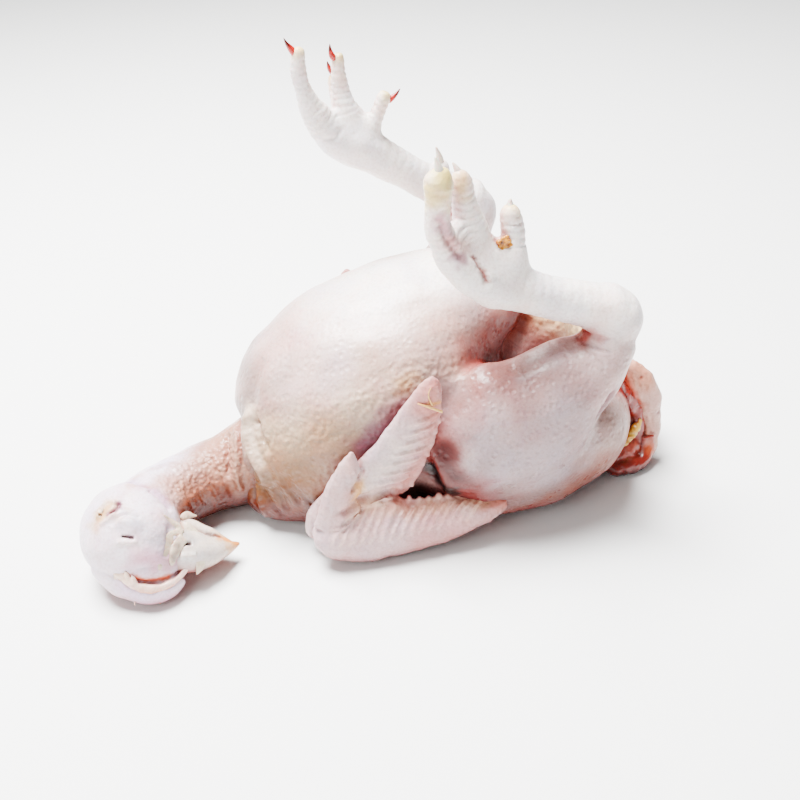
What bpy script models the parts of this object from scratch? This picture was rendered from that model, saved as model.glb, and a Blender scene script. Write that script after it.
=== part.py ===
"""Whole plucked chicken lying on its back: head and neck at -X, tail at +X, feet raised."""
import math

import bmesh
import bpy
from mathutils import Matrix, Vector

# The bird is drawn on a grid of 9 mm squares; every size below counts squares.
GRID = 0.009

# Named sizes of the bird.
TORSO_WIDTH = 13.0
TORSO_HEIGHT = 12.2
NECK_THICKNESS = 4.0
HEAD_LENGTH = 5.2
HEAD_WIDTH = 5.0
THIGH_THICKNESS = 6.6
SHANK_THICKNESS = 1.9
TOE_THICKNESS = 1.15
WING_BLADE = 2.9
WING_THICKNESS = 1.1

# Mesh finish.
RING_SIDES = 28
PATH_STEPS = 6
VOXEL = 0.22
SMOOTHING = 4
TRIANGLE_SHARE = 0.09
LEVEL = 0.01

SKIN = (0.86, 0.74, 0.69, 1.0)


def clear_scene():
    for item in list(bpy.data.objects):
        bpy.data.objects.remove(item)


def skin_material():
    material = bpy.data.materials.new("skin")
    material.use_nodes = True
    shader = material.node_tree.nodes["Principled BSDF"]
    shader.inputs["Base Color"].default_value = SKIN
    shader.inputs["Roughness"].default_value = 0.45
    return material


def between(before, start, end, after, t):
    """A value on a smooth curve through four stations."""
    a = 2.0 * start
    b = (end - before) * t
    c = (2.0 * before - 5.0 * start + 4.0 * end - after) * t * t
    d = (3.0 * start - before - 3.0 * end + after) * t * t * t
    return 0.5 * (a + b + c + d)


def smooth_stations(stations):
    """Adds in-between stations, so a limb bends and swells evenly."""
    rows = [stations[0]] + list(stations) + [stations[-1]]
    result = []
    for i in range(1, len(rows) - 2):
        for step in range(PATH_STEPS):
            t = step / PATH_STEPS
            row = [between(*(rows[i + k][j] for k in (-1, 0, 1, 2)), t) for j in range(len(rows[i]))]
            result.append(row)
    result.append(list(stations[-1]))
    return result


def limb(bm, stations, up=(0.0, 0.0, 1.0)):
    """Closed tube; each station is x, y, z, half width, half thickness along up."""
    rows = smooth_stations(stations)
    points = [Vector(row[:3]) for row in rows]
    hint = Vector(up)
    previous = None
    for i, row in enumerate(rows):
        forward = (points[min(i + 1, len(rows) - 1)] - points[max(i - 1, 0)]).normalized()
        across = hint.cross(forward).normalized()
        lift = forward.cross(across)
        top = max(row[4], 0.05)
        bottom = max(row[5] if len(row) > 5 else row[4], 0.05)
        circle = bmesh.ops.create_circle(bm, segments=RING_SIDES, radius=1.0)["verts"]
        for vert in circle:
            side, height = vert.co.x, vert.co.y
            vert.co = points[i] + across * (side * max(row[3], 0.05)) + lift * (height * (top if height > 0 else bottom))
        edges = list({edge for vert in circle for edge in vert.link_edges})
        if previous is None:
            bmesh.ops.contextual_create(bm, geom=edges)
        else:
            bmesh.ops.bridge_loops(bm, edges=previous + edges)
        previous = edges
    bmesh.ops.contextual_create(bm, geom=previous)


def lump(bm, centre, radii, turn=(0.0, 0.0, 0.0)):
    """Egg-shaped swelling, turned about X, Y and Z in degrees."""
    matrix = Matrix.Translation(Vector(centre))
    for axis, angle in zip("ZYX", reversed(turn)):
        matrix = matrix @ Matrix.Rotation(math.radians(angle), 4, axis)
    matrix = matrix @ Matrix.Diagonal((*radii, 1.0))
    bmesh.ops.create_uvsphere(bm, u_segments=24, v_segments=14, radius=1.0, matrix=matrix)


def torso(bm):
    """Breast dome at the front, narrowing to the rump; height is above and below the middle."""
    w, h = TORSO_WIDTH / 2, TORSO_HEIGHT / 2
    shape = [
        (-12.3, -1.6, 4.0, 0.05, 0.10, 0.10),
        (-12.0, -1.6, 4.1, 0.28, 0.34, 0.42),
        (-11.1, -1.4, 4.5, 0.54, 0.58, 0.66),
        (-9.4, -0.9, 5.1, 0.78, 0.78, 0.83),
        (-7.0, -0.4, 5.7, 0.94, 0.94, 0.93),
        (-4.0, 0.0, 6.1, 1.00, 1.04, 1.05),
        (-1.0, 0.3, 6.1, 0.82, 1.14, 1.05),
        (2.0, 0.4, 5.8, 0.52, 1.06, 1.00),
        (4.6, 0.1, 5.1, 0.44, 0.80, 0.88),
        (7.0, -0.4, 4.2, 0.46, 0.56, 0.72),
        (9.0, -0.8, 3.6, 0.45, 0.36, 0.58),
        (10.2, -0.9, 3.2, 0.30, 0.26, 0.42),
        (10.8, -0.9, 3.1, 0.10, 0.10, 0.12),
    ]
    limb(bm, [(x, y, z, w * a, h * b, h * c) for x, y, z, a, b, c in shape])
    lump(bm, (-10.5, -3.4, 2.4), (2.4, 2.1, 2.3))
    lump(bm, (-9.0, 3.6, 2.8), (2.6, 2.0, 2.5))


def neck_and_head(bm):
    r = NECK_THICKNESS / 2
    path = [
        (-9.6, -1.0, 3.6, 1.45, 1.40),
        (-11.6, -1.3, 3.0, 1.20, 1.20),
        (-13.4, -1.4, 2.2, 1.04, 1.10),
        (-15.0, -1.6, 1.95, 0.96, 1.00),
        (-16.6, -2.5, 1.95, 0.92, 0.99),
        (-17.8, -3.8, 2.2, 1.00, 1.00),
        (-18.5, -5.2, 2.4, 0.90, 0.95),
    ]
    limb(bm, [(x, y, z, r * a, r * b) for x, y, z, a, b in path])
    lump(bm, (-18.9, -5.9, 2.45), (HEAD_LENGTH / 2, HEAD_LENGTH * 0.54, HEAD_WIDTH / 2))
    beak = [
        (-18.4, -6.4, 2.2, 2.20, 1.90),
        (-17.2, -6.8, 1.9, 1.80, 1.50),
        (-16.2, -6.9, 1.6, 1.20, 1.10),
        (-15.2, -6.8, 1.3, 0.85, 0.75),
        (-14.3, -6.6, 1.1, 0.50, 0.45),
        (-13.7, -6.4, 1.0, 0.12, 0.10),
    ]
    limb(bm, beak)
    comb = [
        (-20.3, -7.6, 1.1, 0.30, 0.40),
        (-19.3, -8.1, 0.9, 0.55, 0.60),
        (-18.0, -8.4, 0.8, 0.60, 0.60),
        (-16.8, -8.1, 0.8, 0.50, 0.50),
        (-16.2, -8.0, 0.8, 0.20, 0.25),
    ]
    limb(bm, comb)


def leg(bm, knee, hock, palm, side):
    """Thigh beside the belly, drumstick from knee to hock, and shank to the palm of the foot."""
    t = THIGH_THICKNESS / 2
    knee, hock, palm = Vector(knee), Vector(hock), Vector(palm)
    drum = [(0.0, 0.84), (0.25, 1.02), (0.5, 0.92), (0.75, 0.60), (1.0, 0.46)]
    bulge = Vector((0.2, 0.6 * side, -0.7))
    path = []
    for along, share in drum:
        place = knee.lerp(hock, along) + bulge * math.sin(math.pi * along)
        path.append((*place, t * share, t * share))
    limb(bm, path, up=(0.0, side, 0.0))
    hip = Vector((7.0, 2.0 * side - 0.6, 3.3))
    thigh = [(0.0, 0.85), (0.3, 0.92), (0.6, 0.88), (1.0, 0.70)]
    path = []
    for along, share in thigh:
        place = knee.lerp(hip, along) + Vector((0.0, 0.3 * side, -1.0)) * math.sin(math.pi * along)
        path.append((*place, t * share, t * share))
    limb(bm, path)
    s = SHANK_THICKNESS / 2
    lump(bm, hock + Vector((-0.1, 0.0, 0.3)), (1.55, 1.35, 1.55))
    shank = [(0.0, 1.40), (0.2, 1.15), (0.5, 0.98), (0.8, 1.15), (1.0, 1.30)]
    path = [(*(hock + Vector((-0.2, 0.0, 0.9))).lerp(palm, along), s * share, s * share) for along, share in shank]
    limb(bm, path, up=(0.0, side, 0.0))
    lump(bm, palm + Vector((-0.1, 0.0, 0.2)), (1.5, 1.4, 1.2))
    lump(bm, palm + Vector((-1.0, 0.0, 1.2)), (1.1, 1.5, 1.4))


def toe(bm, points, claw_tip, size=1.0):
    """Toe through its joints with a knuckle swelling at each, and a pointed claw."""
    r = TOE_THICKNESS / 2 * size
    rows = []
    for i, point in enumerate(points):
        share = (1.15, 1.05, 0.98, 0.92, 0.90)[min(i, 4)]
        rows.append((*point, r * share, r * share))
    end = Vector(points[-1]) + (Vector(points[-1]) - Vector(points[-2])).normalized() * r * 0.7
    rows.append((*end, r * 0.45, r * 0.45))
    limb(bm, rows, up=(0.0, 1.0, 0.0))
    base = Vector(points[-1])
    tip = Vector(claw_tip)
    limb(bm, [(*base.lerp(tip, k), w * size, w * size) for k, w in ((0.0, 0.30), (0.6, 0.22), (1.0, 0.06))],
         up=(0.0, 1.0, 0.0))


def wing(bm, elbow, wrist, tip, side, thumb_tip, shoulder):
    """Folded wing: forearm along the table, hand blade raised, thumb beside the wrist."""
    elbow, wrist, tip, shoulder = Vector(elbow), Vector(wrist), Vector(tip), Vector(shoulder)
    b, t = WING_BLADE / 2, WING_THICKNESS / 2
    lean = Vector((0.0, 0.70 * side, -0.72))
    rows = []
    for along, wide, thick in ((-0.04, 0.2, 0.5), (0.08, 0.50, 0.9), (0.35, 0.80, 1.3), (0.7, 0.95, 1.5),
                               (0.92, 0.95, 1.5), (1.04, 0.55, 1.0)):
        rows.append((*elbow.lerp(wrist, along), t * thick, b * wide))
    limb(bm, rows, up=lean)
    rows = []
    for along, wide, thick in ((-0.08, 0.5, 0.9), (0.05, 0.90, 1.4), (0.25, 1.10, 1.3), (0.5, 1.05, 1.05),
                               (0.75, 0.80, 0.85), (0.92, 0.46, 0.7), (1.0, 0.12, 0.3)):
        place = wrist.lerp(tip, along) + Vector((0.5, 0.0, -0.2)) * math.sin(math.pi * max(along, 0.0))
        rows.append((*place, b * wide, t * thick))
    limb(bm, rows, up=(0.0, side, 0.0))
    root = wrist.lerp(tip, 0.04)
    rows = [(*root, 0.8, 0.5), (*root.lerp(Vector(thumb_tip), 0.55), 0.75, 0.45), (*Vector(thumb_tip), 0.12, 0.12)]
    limb(bm, rows, up=(0.0, side, 0.0))
    rows = [(*shoulder.lerp(elbow, k), 1.3 - 0.5 * k, 1.5 - 0.6 * k) for k in (0.0, 0.4, 0.8, 1.0)]
    limb(bm, rows)


def tail(bm):
    """Stubby tail with loose skin and the cut flesh of the vent under it."""
    lump(bm, (9.8, -1.2, 2.9), (1.3, 1.7, 2.2), (0.0, 20.0, 0.0))
    lump(bm, (8.6, -2.5, 1.1), (1.5, 1.5, 1.2))


def build_solid():
    bm = bmesh.new()
    torso(bm)
    neck_and_head(bm)
    leg(bm, (-2.0, -5.3, 4.5), (6.2, -5.4, 11.1), (-0.2, -4.6, 14.2), -1)
    leg(bm, (-0.8, 5.2, 4.6), (1.5, 5.4, 12.6), (-5.3, 5.2, 17.7), 1)
    toe(bm, [(-0.6, -5.2, 14.4), (-2.1, -5.8, 15.6), (-2.8, -6.0, 17.6), (-2.9, -6.0, 19.4)], (-3.3, -6.0, 20.5))
    toe(bm, [(-0.3, -4.4, 14.8), (-1.0, -4.4, 16.8), (-1.4, -4.4, 18.6)], (-1.8, -4.3, 19.7))
    toe(bm, [(-0.6, -3.6, 14.4), (-1.9, -3.0, 16.2), (-2.2, -2.8, 18.4), (-2.2, -2.8, 19.6)], (-2.5, -2.7, 20.6))
    toe(bm, [(0.5, -4.5, 14.6), (0.95, -4.5, 16.2), (0.85, -4.5, 17.0)], (0.85, -4.5, 17.9), 0.9)
    toe(bm, [(-5.6, 5.0, 17.8), (-7.1, 4.6, 19.4), (-7.4, 4.4, 21.2), (-7.5, 4.3, 22.6)], (-8.3, 4.2, 23.6))
    toe(bm, [(-5.2, 5.4, 18.0), (-5.4, 5.4, 19.6), (-5.5, 5.4, 21.0), (-5.6, 5.4, 22.0)], (-5.95, 5.4, 22.9))
    toe(bm, [(-5.4, 6.0, 17.8), (-5.5, 7.0, 18.9), (-5.5, 7.3, 19.9), (-5.6, 7.3, 20.6)], (-5.9, 7.3, 21.4))
    toe(bm, [(-4.2, 5.2, 17.6), (-3.4, 5.2, 18.8), (-2.95, 5.2, 19.8)], (-2.5, 5.2, 20.3), 0.85)
    wing(bm, (0.3, -6.9, 1.35), (-9.0, -7.4, 1.45), (-3.4, -7.2, 10.3), -1, (-7.5, -7.2, 6.7), (-8.8, -4.4, 3.0))
    wing(bm, (-1.8, 6.7, 1.35), (-9.4, 7.0, 1.45), (-5.8, 7.0, 9.2), 1, (-9.2, 6.8, 6.0), (-9.0, 4.0, 3.0))
    tail(bm)
    mesh = bpy.data.meshes.new("chicken")
    bm.to_mesh(mesh)
    bm.free()
    return bpy.data.objects.new("chicken", mesh)


def fuse(source):
    """Unites the overlapping limbs under one skin and evens it out."""
    remesh = source.modifiers.new("Skin", "REMESH")
    remesh.mode = "VOXEL"
    remesh.voxel_size = VOXEL
    smooth = source.modifiers.new("Even", "SMOOTH")
    smooth.factor = 0.5
    smooth.iterations = SMOOTHING
    thin = source.modifiers.new("Facets", "DECIMATE")
    thin.ratio = TRIANGLE_SHARE
    graph = bpy.context.evaluated_depsgraph_get()
    mesh = bpy.data.meshes.new_from_object(source.evaluated_get(graph))
    source.modifiers.clear()
    source.data = mesh


def flatten_underside(mesh):
    """Cuts the resting patches level with the table and puts the origin under the middle of the box."""
    bm = bmesh.new()
    bm.from_mesh(mesh)
    geometry = bm.verts[:] + bm.edges[:] + bm.faces[:]
    cut = bmesh.ops.bisect_plane(bm, geom=geometry, dist=LEVEL, plane_co=(0, 0, 0), plane_no=(0, 0, 1),
                                 clear_inner=True)
    rim = [item for item in cut["geom_cut"] if isinstance(item, bmesh.types.BMEdge)]
    bmesh.ops.edgeloop_fill(bm, edges=rim)
    for vert in bm.verts:
        if vert.co.z < 2 * LEVEL:
            vert.co.z = 0.0
    bmesh.ops.triangulate(bm, faces=bm.faces[:])
    bmesh.ops.recalc_face_normals(bm, faces=bm.faces[:])
    middle = [(min(v.co[i] for v in bm.verts) + max(v.co[i] for v in bm.verts)) / 2 for i in (0, 1)]
    print("middle of the box, in squares:", [round(value, 3) for value in middle])
    move = Matrix.Diagonal((GRID, GRID, GRID, 1.0)) @ Matrix.Translation((-middle[0], -middle[1], 0.0))
    bmesh.ops.transform(bm, matrix=move, verts=bm.verts[:])
    bm.to_mesh(mesh)
    bm.free()


clear_scene()
chicken = build_solid()
bpy.context.scene.collection.objects.link(chicken)
fuse(chicken)
flatten_underside(chicken.data)
chicken.data.materials.clear()
chicken.data.materials.append(skin_material())
for polygon in chicken.data.polygons:
    polygon.use_smooth = True
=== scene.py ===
import math
import time

import bmesh
import bpy
import numpy as np
from mathutils import Matrix, Vector, kdtree


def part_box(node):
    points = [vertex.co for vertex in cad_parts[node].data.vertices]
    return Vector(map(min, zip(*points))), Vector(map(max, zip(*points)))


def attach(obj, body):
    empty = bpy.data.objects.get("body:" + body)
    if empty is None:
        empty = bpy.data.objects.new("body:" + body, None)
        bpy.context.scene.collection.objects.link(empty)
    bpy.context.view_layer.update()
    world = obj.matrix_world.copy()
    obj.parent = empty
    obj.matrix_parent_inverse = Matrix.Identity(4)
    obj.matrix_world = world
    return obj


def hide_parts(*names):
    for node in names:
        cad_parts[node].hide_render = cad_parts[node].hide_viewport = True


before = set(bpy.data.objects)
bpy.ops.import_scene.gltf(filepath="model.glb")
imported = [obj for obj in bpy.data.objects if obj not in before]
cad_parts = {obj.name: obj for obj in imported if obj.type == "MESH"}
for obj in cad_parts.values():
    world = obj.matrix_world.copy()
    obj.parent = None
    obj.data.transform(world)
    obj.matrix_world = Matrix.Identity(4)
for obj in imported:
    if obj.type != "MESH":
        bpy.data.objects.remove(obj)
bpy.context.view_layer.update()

begun = time.time()

# The bird is drawn in squares of about 9 mm: x from the head to the tail, y across, z up from the table.
drawing = {
    "headEnd": -21.474,
    "tailEnd": 11.200,
    "middle": -0.031,
}
low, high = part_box("chicken")
square = (high.x - low.x) / (drawing["tailEnd"] - drawing["headEnd"])
corner = (low.x - drawing["headEnd"] * square, (low.y + high.y) / 2 - drawing["middle"] * square, low.z)
toRow = Matrix.Translation(corner) @ Matrix.Scale(square, 4)

fineness = {
    "voxel": 0.095,     # squares, body
    "smallVoxel": 0.055,    # squares, wings and head
    "bodyFaces": 190000,
    "wingFaces": 120000,
    "headFaces": 120000,
    "steps": 6,
}


def between(before, start, end, after, t):
    a = 2.0 * start
    b = (end - before) * t
    c = (2.0 * before - 5.0 * start + 4.0 * end - after) * t * t
    d = (3.0 * start - before - 3.0 * end + after) * t * t * t
    return 0.5 * (a + b + c + d)


def smoothRows(rows, steps):    # in-between rows on a smooth curve
    padded = [rows[0]] + list(rows) + [rows[-1]]
    result = []
    for i in range(1, len(padded) - 2):
        for step in range(steps):
            t = step / steps
            result.append([between(*(padded[i + k][j] for k in (-1, 0, 1, 2)),
                                   t) for j in range(len(padded[i]))])
    result.append(list(rows[-1]))
    return result


def joinRing(bm, circle, previous):    # closes the first and last ring, bridges the others
    edges = list({edge for vert in circle for edge in vert.link_edges})
    if previous is None:
        bmesh.ops.contextual_create(bm, geom=edges)
    else:
        bmesh.ops.bridge_loops(bm, edges=previous + edges)
    return edges


# Closed tube through stations of x, y, z, half width, top, bottom; a low full gives a squarer underside.
def sweep(bm, stations, up=(0.0, 0.0, 1.0), full=1.0, sides=32):
    rows = smoothRows([tuple(s) if len(s) > 5 else (*s, s[4]) for s in stations], fineness["steps"])
    points = [Vector(row[:3]) for row in rows]
    edges = None
    for i, row in enumerate(rows):
        forward = (points[min(i + 1, len(rows) - 1)] - points[max(i - 1, 0)]).normalized()
        across = Vector(up).cross(forward).normalized()
        lift = forward.cross(across)
        wide, top, bottom = (max(value, 0.02) for value in row[3:6])
        circle = bmesh.ops.create_circle(bm, segments=sides, radius=1.0)["verts"]
        for vert in circle:
            side, height = vert.co.x, vert.co.y
            if height < 0:
                side = math.copysign(abs(side) ** full, side)
                height = -abs(height) ** full
            vert.co = points[i] + across * (side * wide) + lift * (height * (top if height > 0 else bottom))
        edges = joinRing(bm, circle, edges)
    bmesh.ops.contextual_create(bm, geom=edges)


def tube(bm, joints, up=(0.0, 1.0, 0.0), sides=16):    # round tube through x, y, z, radius
    sweep(bm, [(*joint[:3], joint[3], joint[3]) for joint in joints], up=up, sides=sides)


def lump(bm, centre, radii, turn=(0.0, 0.0, 0.0)):    # egg shape, turned about X, Y and Z in degrees
    matrix = Matrix.Translation(Vector(centre))
    for axis, angle in zip("ZYX", reversed(turn)):
        matrix = matrix @ Matrix.Rotation(math.radians(angle), 4, axis)
    matrix = matrix @ Matrix.Diagonal((*radii, 1.0))
    bmesh.ops.create_uvsphere(bm, u_segments=28, v_segments=16, radius=1.0, matrix=matrix)


def fuse(bm, voxel, spread, name="parts"):    # one skin over overlapping shapes, corners rounded over spread
    mesh = bpy.data.meshes.new(name)
    bmesh.ops.recalc_face_normals(bm, faces=bm.faces[:])
    bm.to_mesh(mesh)
    bm.free()
    source = bpy.data.objects.new(name, mesh)
    bpy.context.scene.collection.objects.link(source)
    remesh = source.modifiers.new("skin", "REMESH")
    remesh.mode = "VOXEL"
    remesh.voxel_size = voxel
    smooth = source.modifiers.new("even", "SMOOTH")
    smooth.factor = 0.5
    smooth.iterations = max(1, round((2.0 * spread / voxel) ** 2))
    graph = bpy.context.evaluated_depsgraph_get()
    result = bpy.data.meshes.new_from_object(source.evaluated_get(graph))
    bpy.data.objects.remove(source)
    bpy.data.meshes.remove(mesh)
    return result


def reopened(mesh):
    bm = bmesh.new()
    bm.from_mesh(mesh)
    bpy.data.meshes.remove(mesh)
    return bm


def thinned(mesh, faces):    # fewer triangles where the surface is plain
    count = sum(len(polygon.vertices) - 2 for polygon in mesh.polygons)
    if count <= faces:
        return mesh
    source = bpy.data.objects.new("thinned", mesh)
    bpy.context.scene.collection.objects.link(source)
    decimate = source.modifiers.new("thin", "DECIMATE")
    decimate.ratio = faces / count
    graph = bpy.context.evaluated_depsgraph_get()
    result = bpy.data.meshes.new_from_object(source.evaluated_get(graph))
    bpy.data.objects.remove(source)
    return result


def finishPiece(name, mesh, material):    # puts a mesh drawn in squares in its place on the frame
    mesh.name = name
    mesh.transform(toRow)
    mesh.materials.clear()
    mesh.materials.append(material)
    mesh.shade_smooth()
    piece = bpy.data.objects.new(name, mesh)
    bpy.context.scene.collection.objects.link(piece)
    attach(piece, "root")
    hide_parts("chicken")
    print("made", name, len(mesh.polygons), "faces", round(time.time() - begun, 1), "s")
    return piece


def readPoints(mesh):
    points = np.empty(len(mesh.vertices) * 3, np.float32)
    mesh.vertices.foreach_get("co", points)
    return points.reshape(-1, 3).astype(float)


def writePoints(mesh, points):
    mesh.vertices.foreach_set("co", points.astype(np.float32).ravel())
    mesh.update()


def readNormals(mesh):
    normals = np.empty(len(mesh.vertices) * 3, np.float32)
    mesh.vertex_normals.foreach_get("vector", normals)
    return normals.reshape(-1, 3).astype(float)


def distanceTo(points, path):    # to a line through the path's points, and the share along it
    path = np.array(path, float).reshape(-1, 3)
    if len(path) == 1:
        return np.linalg.norm(points - path[0], axis=1), np.full(len(points), 0.5)
    lengths = np.linalg.norm(np.diff(path, axis=0), axis=1)
    total, walked = lengths.sum(), 0.0
    best, share = np.full(len(points), np.inf), np.zeros(len(points))
    for start, end, length in zip(path[:-1], path[1:], lengths):
        step = (end - start) / length
        along = np.clip((points - start) @ step, 0.0, length)
        distance = np.linalg.norm(points - start - along[:, None] * step, axis=1)
        nearer = distance < best
        best[nearer] = distance[nearer]
        share[nearer] = (walked + along[nearer]) / total
        walked += length
    return best, share


def curved(path, steps=6):
    return smoothRows(path, steps) if len(path) > 2 else path


def roll(points, size, seed):    # smooth uneven field about -1 to 1
    rng = np.random.default_rng(seed)
    field = np.zeros(len(points))
    for k in range(9):
        direction = rng.normal(size=3)
        direction *= 2 * math.pi / (size * rng.uniform(0.7, 1.6) * np.linalg.norm(direction))
        field += np.sin(points @ direction + rng.uniform(0, 6.28))
    return field / 3.0


def inRange(value, start, end):    # 0 before start, 1 after end, smooth between
    t = np.clip((value - start) / (end - start), 0.0, 1.0)
    return t * t * (3 - 2 * t)


def onSurface(points, path, size):    # a fine line is laid on the nearest points of the surface
    if size > 0.55:
        return path
    return np.array([points[np.argmin(((points - np.array(place)) ** 2).sum(1))] for place in path])


class Clay:    # points and normals of a mesh being shaped
    def __init__(self, mesh):
        self.mesh = mesh
        self.at = readPoints(mesh)
        self.out = readNormals(mesh)

    def refresh(self):
        writePoints(self.mesh, self.at)
        self.out = readNormals(self.mesh)

    def stroke(self, path, width, height, ends=0.15):    # ridge, or crease where height is below 0
        distance, share = distanceTo(self.at, onSurface(self.at, curved(path), width))
        x = distance / width
        shape = np.exp(-x * x)
        if ends:
            shape *= inRange(share, -0.001, ends) * inRange(-share, -1.001, -1 + ends)
        self.at += self.out * (shape * height)[:, None]

    def pull(self, centre, radius, by):
        distance = np.linalg.norm(self.at - np.array(centre), axis=1) / radius
        weight = np.exp(-distance * distance * 1.5)
        self.at += np.array(by)[None, :] * weight[:, None]

    def bumps(self, mask, spacing, radius, height, seed):    # goose flesh where the mask is above 0
        rng = np.random.default_rng(seed)
        chosen = rng.permutation(np.flatnonzero(mask > 0.15))
        cells = np.floor(self.at[chosen] / spacing + rng.uniform(0, 1, 3)).astype(int)
        sites = self.at[chosen[np.unique(cells, axis=0, return_index=True)[1]]]
        tree = kdtree.KDTree(len(sites))
        for i, site in enumerate(sites):
            tree.insert(site, i)
        tree.balance()
        near = np.flatnonzero(mask > 0.02)
        distance = np.array([tree.find(point)[2] for point in self.at[near]])
        shape = np.exp(-(distance / radius) ** 2) * mask[near] * height
        self.at[near] += self.out[near] * shape[:, None]

    def lift(self, field):
        self.at += self.out * field[:, None]


wander = 1.3    # limit on how unevenly a wash ends, so that it makes no spots away from its path


class Paint:    # colour and finish masks stored on the points of a mesh
    def __init__(self, points, base):
        self.at = points
        self.tone = np.tile(np.array(base, float), (len(points), 1))
        self.pores = np.zeros(len(points))
        self.creases = np.zeros(len(points))

    def weight(self, path, radius, uneven=0.25, seed=1):
        distance, share = distanceTo(self.at, onSurface(self.at, curved(path), radius))
        distance = distance * (1 + uneven * np.clip(roll(self.at, radius * 1.5, seed), -wander, wander))
        return np.exp(-((distance / radius) ** 2))

    def wash(self, path, radius, colour, strength, uneven=0.25, seed=1):
        self.blend(colour, self.weight(path, radius, uneven, seed) * strength)

    def blend(self, colour, share):
        share = np.clip(share, 0, 1)[:, None]
        self.tone = self.tone * (1 - share) + np.array(colour)[None, :] * share

    def store(self, mesh):
        colours = np.ones((len(self.at), 4), np.float32)
        colours[:, :3] = np.clip(self.tone, 0, 1)
        mesh.attributes.new("tone", "FLOAT_COLOR", "POINT").data.foreach_set("color", colours.ravel())
        for name, field in (("pores", self.pores), ("creases", self.creases)):
            layer = mesh.attributes.new(name, "FLOAT", "POINT")
            layer.data.foreach_set("value", np.clip(field, 0, 1).astype(np.float32))


detail = {    # surface pattern and painted crevice shade shared by every painted piece, sizes per metre
    "blotch": 38, "grain": 800, "vein": 24, "pore": 300, "wrinkle": 150, "sheen": 120,
    # the nook entries give painted shade in crevices: how far the occlusion looks, in metres, and the tint
    # it darkens towards
    "saturation": 1.2, "gamma": 2.35, "depth": 0.0011, "nook": 0.032, "nookShadeTint": (0.66, 0.47, 0.46),
    "rosyTint": (1.0, 0.93, 0.92), "coolTint": (0.93, 0.94, 0.98), "grainTint": (0.90, 0.87, 0.86),
    "veinTint": (0.86, 0.79, 0.90), "veinStrength": 0.2, "veinWidth": 0.035, "veinBend": 0.03,
}


def newMaterial(name):
    material = bpy.data.materials.new(name)
    material.use_nodes = True
    return material, material.node_tree, material.node_tree.nodes["Principled BSDF"]


def addNode(tree, kind, **settings):
    node = tree.nodes.new("ShaderNode" + kind)
    for key, value in settings.items():
        setattr(node, key, value)
    return node


def mathNode(tree, operation, first, second):    # sockets or plain numbers
    node = addNode(tree, "Math", operation=operation)
    for socket, value in zip(node.inputs, (first, second)):
        if isinstance(value, (int, float)):
            socket.default_value = value
        else:
            tree.links.new(value, socket)
    return node.outputs[0]


def noise(tree, place, scale, levels=3.0):
    node = addNode(tree, "TexNoise")
    node.inputs["Scale"].default_value = scale
    node.inputs["Detail"].default_value = levels
    tree.links.new(place, node.inputs["Vector"])
    return node.outputs["Fac"]


def spread(tree, value, start, end, low=0.0, high=1.0):
    node = addNode(tree, "MapRange")
    tree.links.new(value, node.inputs["Value"])
    for name, number in (("From Min", start), ("From Max", end), ("To Min", low), ("To Max", high)):
        node.inputs[name].default_value = number
    return node.outputs["Result"]


def tinted(tree, colour, mask, tint):    # colour times tint where the mask is 1
    node = addNode(tree, "Mix", data_type="RGBA", blend_type="MULTIPLY")
    tree.links.new(mask, node.inputs["Factor"])
    tree.links.new(colour, node.inputs["A"])
    node.inputs["B"].default_value = (*tint, 1.0)
    return node.outputs["Result"]


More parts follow.
